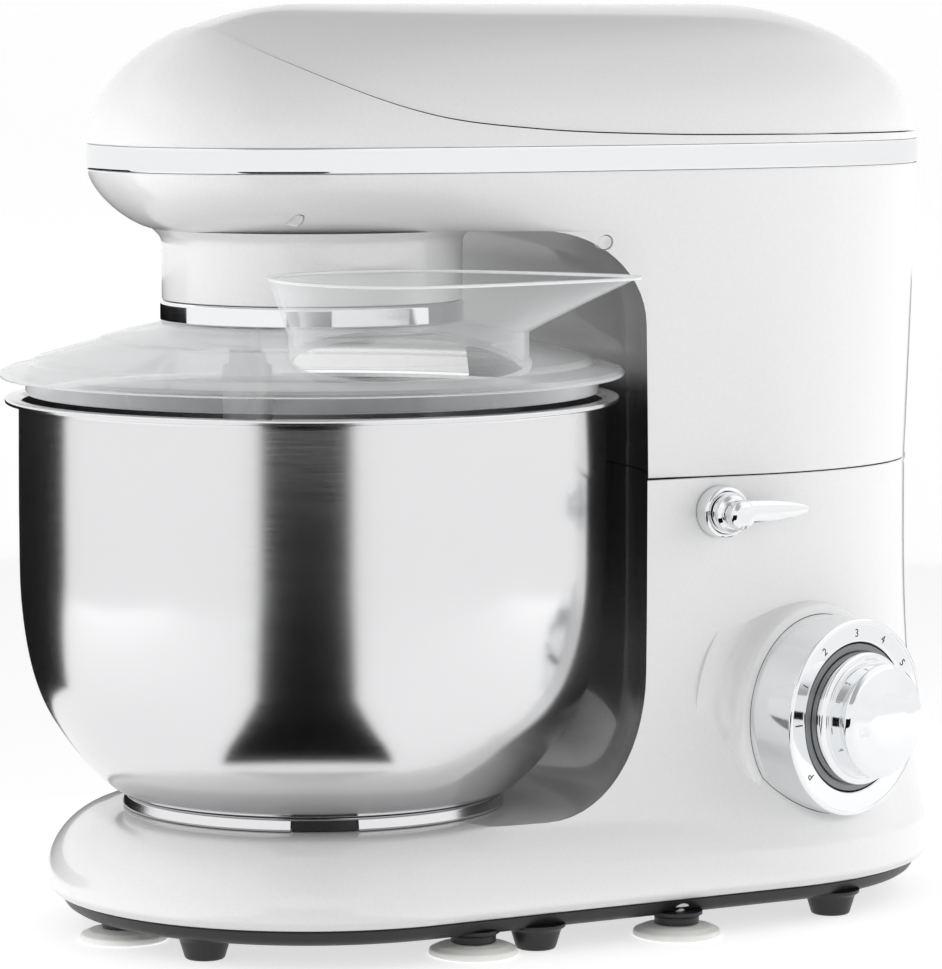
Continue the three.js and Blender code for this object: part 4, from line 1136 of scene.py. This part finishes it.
def soften(obj, width, segments=3):
    """Rounds a mesh's sharp edges."""
    step = obj.modifiers.new("step", "BEVEL")
    step.width = width * MM
    step.segments = segments
    step.limit_method = "ANGLE"
    step.angle_limit = math.radians(40)
    result = applied(obj)
    obj.modifiers.clear()
    obj.data = result


def planet_carrier():
    low, high = box("planet_carrier")
    disc = fillet([(0, low.z), (30, low.z), (34, low.z + 0.6, 1), (44, low.z + 0.6, 1),
                   (48, low.z + 2.6, 1.5), (48, low.z + 13, 0.6), (10, low.z + 13), (10, high.z),
                   (0, high.z)], 5)
    carrier = piece("carrier_disc", *revolve(disc, 160), CAST, "planetary", "cast_aluminium",
                    "planet_carrier")
    bores = [rod((0, BOWL_Y, 0), (0, 0, 1), 6.3, low.z + 4.5, 260),
             rod((0, PLANET.y, 0), (0, 0, 1), 8.3, 220, 240)]
    combine(carrier, bores, "DIFFERENCE")
    shade(carrier, 30)


flat_beater()
planet_carrier()


# Finishes of the frame's own solids that stay.

LOOKS = {
    "white_shell": WHITE, "black_plastic": BLACK, "clear_rubber": SILICONE, "chrome": CHROME,
    "dial_grey": GREY, "bowl_steel": STEEL, "clear_plastic": CLEAR, "nylon": NYLON, "steel": MACHINED,
    "cast_aluminium": CAST, "bronze": BRONZE, "copper": COPPER, "board_green": BOARD,
}
for part in frame["record"]["subparts"]:
    node = frame["nodes"][part["node"]]
    node.data.materials.clear()
    node.data.materials.append(LOOKS[part["material_slot"]])


# The studio: a pale floor, a white surround brighter to the camera's left and right, and dark cards that
# only reflections see. All of it keeps still when the view moves.

CAMERA_AZIMUTH = 62.95


def toward(turn):
    """A level direction, turned from the one that faces the camera, positive to the camera's right."""
    angle = math.radians(CAMERA_AZIMUTH - 90 + turn)
    return Vector((math.cos(angle), math.sin(angle), 0))


def floor():
    rings = fillet([(0, 0), (5000, 0, 1500), (6500, 3500)], 24)
    points, faces = revolve([(radius, z - 0.05) for radius, z in rings], 128, 0)
    made = piece("floor", points, faces, plain("pale_floor", (0.5, 0.5, 0.5), 0.8), None, None, sharp=60)
    shader = made.data.materials[0].node_tree.nodes["Principled BSDF"]
    shader.inputs["Emission Color"].default_value = (1, 1, 1, 1)
    shader.inputs["Emission Strength"].default_value = 0.67


def card(name, turn_from, turn_to, near, far, top, brightness, spread=0):
    """A card that lies on the floor, wider close by, and then stands up. Only glossy reflections see it."""
    centre = Vector((0, BOWL_Y, 0))
    points = []
    for radius, z, wider in ((near, 1.0, spread), (near * 2.2, 1.0, 0), (far, 1.0, 0), (far, top, 0)):
        turns = [lerp(turn_from - wider, turn_to + wider, i / 24) for i in range(25)]
        points += [centre + toward(t) * radius + Vector((0, 0, z)) for t in turns]
    faces = [(row + i, row + i + 1, row + i + 26, row + i + 25) for row in (0, 25, 50) for i in range(24)]
    look = bpy.data.materials.new(name)
    look.use_nodes = True
    nodes, links = look.node_tree.nodes, look.node_tree.links
    nodes.clear()
    glow = nodes.new("ShaderNodeEmission")
    glow.inputs["Color"].default_value = (brightness, brightness, brightness, 1)
    links.new(glow.outputs["Emission"], nodes.new("ShaderNodeOutputMaterial").inputs["Surface"])
    made = piece(name, points, faces, look, None, None)
    made.visible_camera = False
    made.visible_diffuse = False
    made.visible_shadow = False
    made.visible_transmission = False


def world():
    """White to the camera; as a light, brightest at the two sides and dimmest in front and behind."""
    made = bpy.data.worlds.new("studio")
    made.use_nodes = True
    nodes, links = made.node_tree.nodes, made.node_tree.links
    background = nodes["Background"]
    where = nodes.new("ShaderNodeTexCoord")
    across = nodes.new("ShaderNodeVectorMath")
    across.operation = "DOT_PRODUCT"
    across.inputs[1].default_value = toward(90)
    links.new(where.outputs["Generated"], across.inputs[0])
    ramp = nodes.new("ShaderNodeValToRGB")
    ramp.color_ramp.interpolation = "EASE"
    stops = ((0.0, 1.0), (0.3, 0.85), (0.45, 0.35), (0.55, 0.35), (0.7, 0.85), (1.0, 1.0))
    while len(ramp.color_ramp.elements) < len(stops):
        ramp.color_ramp.elements.new(0.5)
    for element, (position, value) in zip(ramp.color_ramp.elements, stops):
        element.position = position
        element.color = (value, value, value, 1)
    links.new(span(made, across.outputs["Value"], 0, 1, -1), ramp.inputs["Fac"])
    links.new(ramp.outputs["Color"], background.inputs["Color"])
    plain_white = nodes.new("ShaderNodeBackground")
    seen = nodes.new("ShaderNodeLightPath")
    links.new(span(made, seen.outputs["Is Diffuse Ray"], 1.3, 0.5), background.inputs["Strength"])
    mix = nodes.new("ShaderNodeMixShader")
    links.new(seen.outputs["Is Camera Ray"], mix.inputs["Fac"])
    links.new(background.outputs["Background"], mix.inputs[1])
    links.new(plain_white.outputs["Background"], mix.inputs[2])
    plain_white.inputs["Color"].default_value = (1, 1, 1, 1)
    links.new(mix.outputs["Shader"], nodes["World Output"].inputs["Surface"])
    bpy.context.scene.world = made


def softbox(name, turn, distance, size, watts, height=350):
    """A soft light beside the mixer, which reflections don't see."""
    light = bpy.data.lights.new(name, "AREA")
    light.shape = "RECTANGLE"
    light.size, light.size_y = (v * MM for v in size)
    light.energy = watts
    lamp = bpy.data.objects.new(name, light)
    bpy.context.scene.collection.objects.link(lamp)
    lamp.location = (toward(turn) * distance + Vector((0, 0, height))) * MM
    lamp.rotation_euler = (Vector((0, 0, 0.17)) - lamp.location).to_track_quat("-Z", "Y").to_euler()
    lamp.visible_glossy = False


def camera(spot, azimuth, pitch, lens):
    data = bpy.data.cameras.new("camera")
    data.lens = lens
    data.sensor_width = 36
    data.clip_end = 100
    view = bpy.data.objects.new("camera", data)
    bpy.context.scene.collection.objects.link(view)
    view.location = Vector(spot) * MM
    view.rotation_euler = (math.radians(90 - pitch), 0, math.radians(azimuth))
    bpy.context.scene.camera = view


bpy.context.scene.view_settings.view_transform = "Standard"
floor()
world()
card("card_front", -17, 16, 110, 1200, 170, 0.004, 16)
card("card_left", -180, -106, 300, 1200, 170, 0.004)
card("card_right", 150, 174, 300, 1200, 170, 0.004)
softbox("left_softbox", -75, 750, (700, 900), 2.2)
softbox("right_softbox", 100, 700, (700, 900), 2.2)
camera((1562.1, -801.7, 332.0), CAMERA_AZIMUTH, 5.63, 175.9)
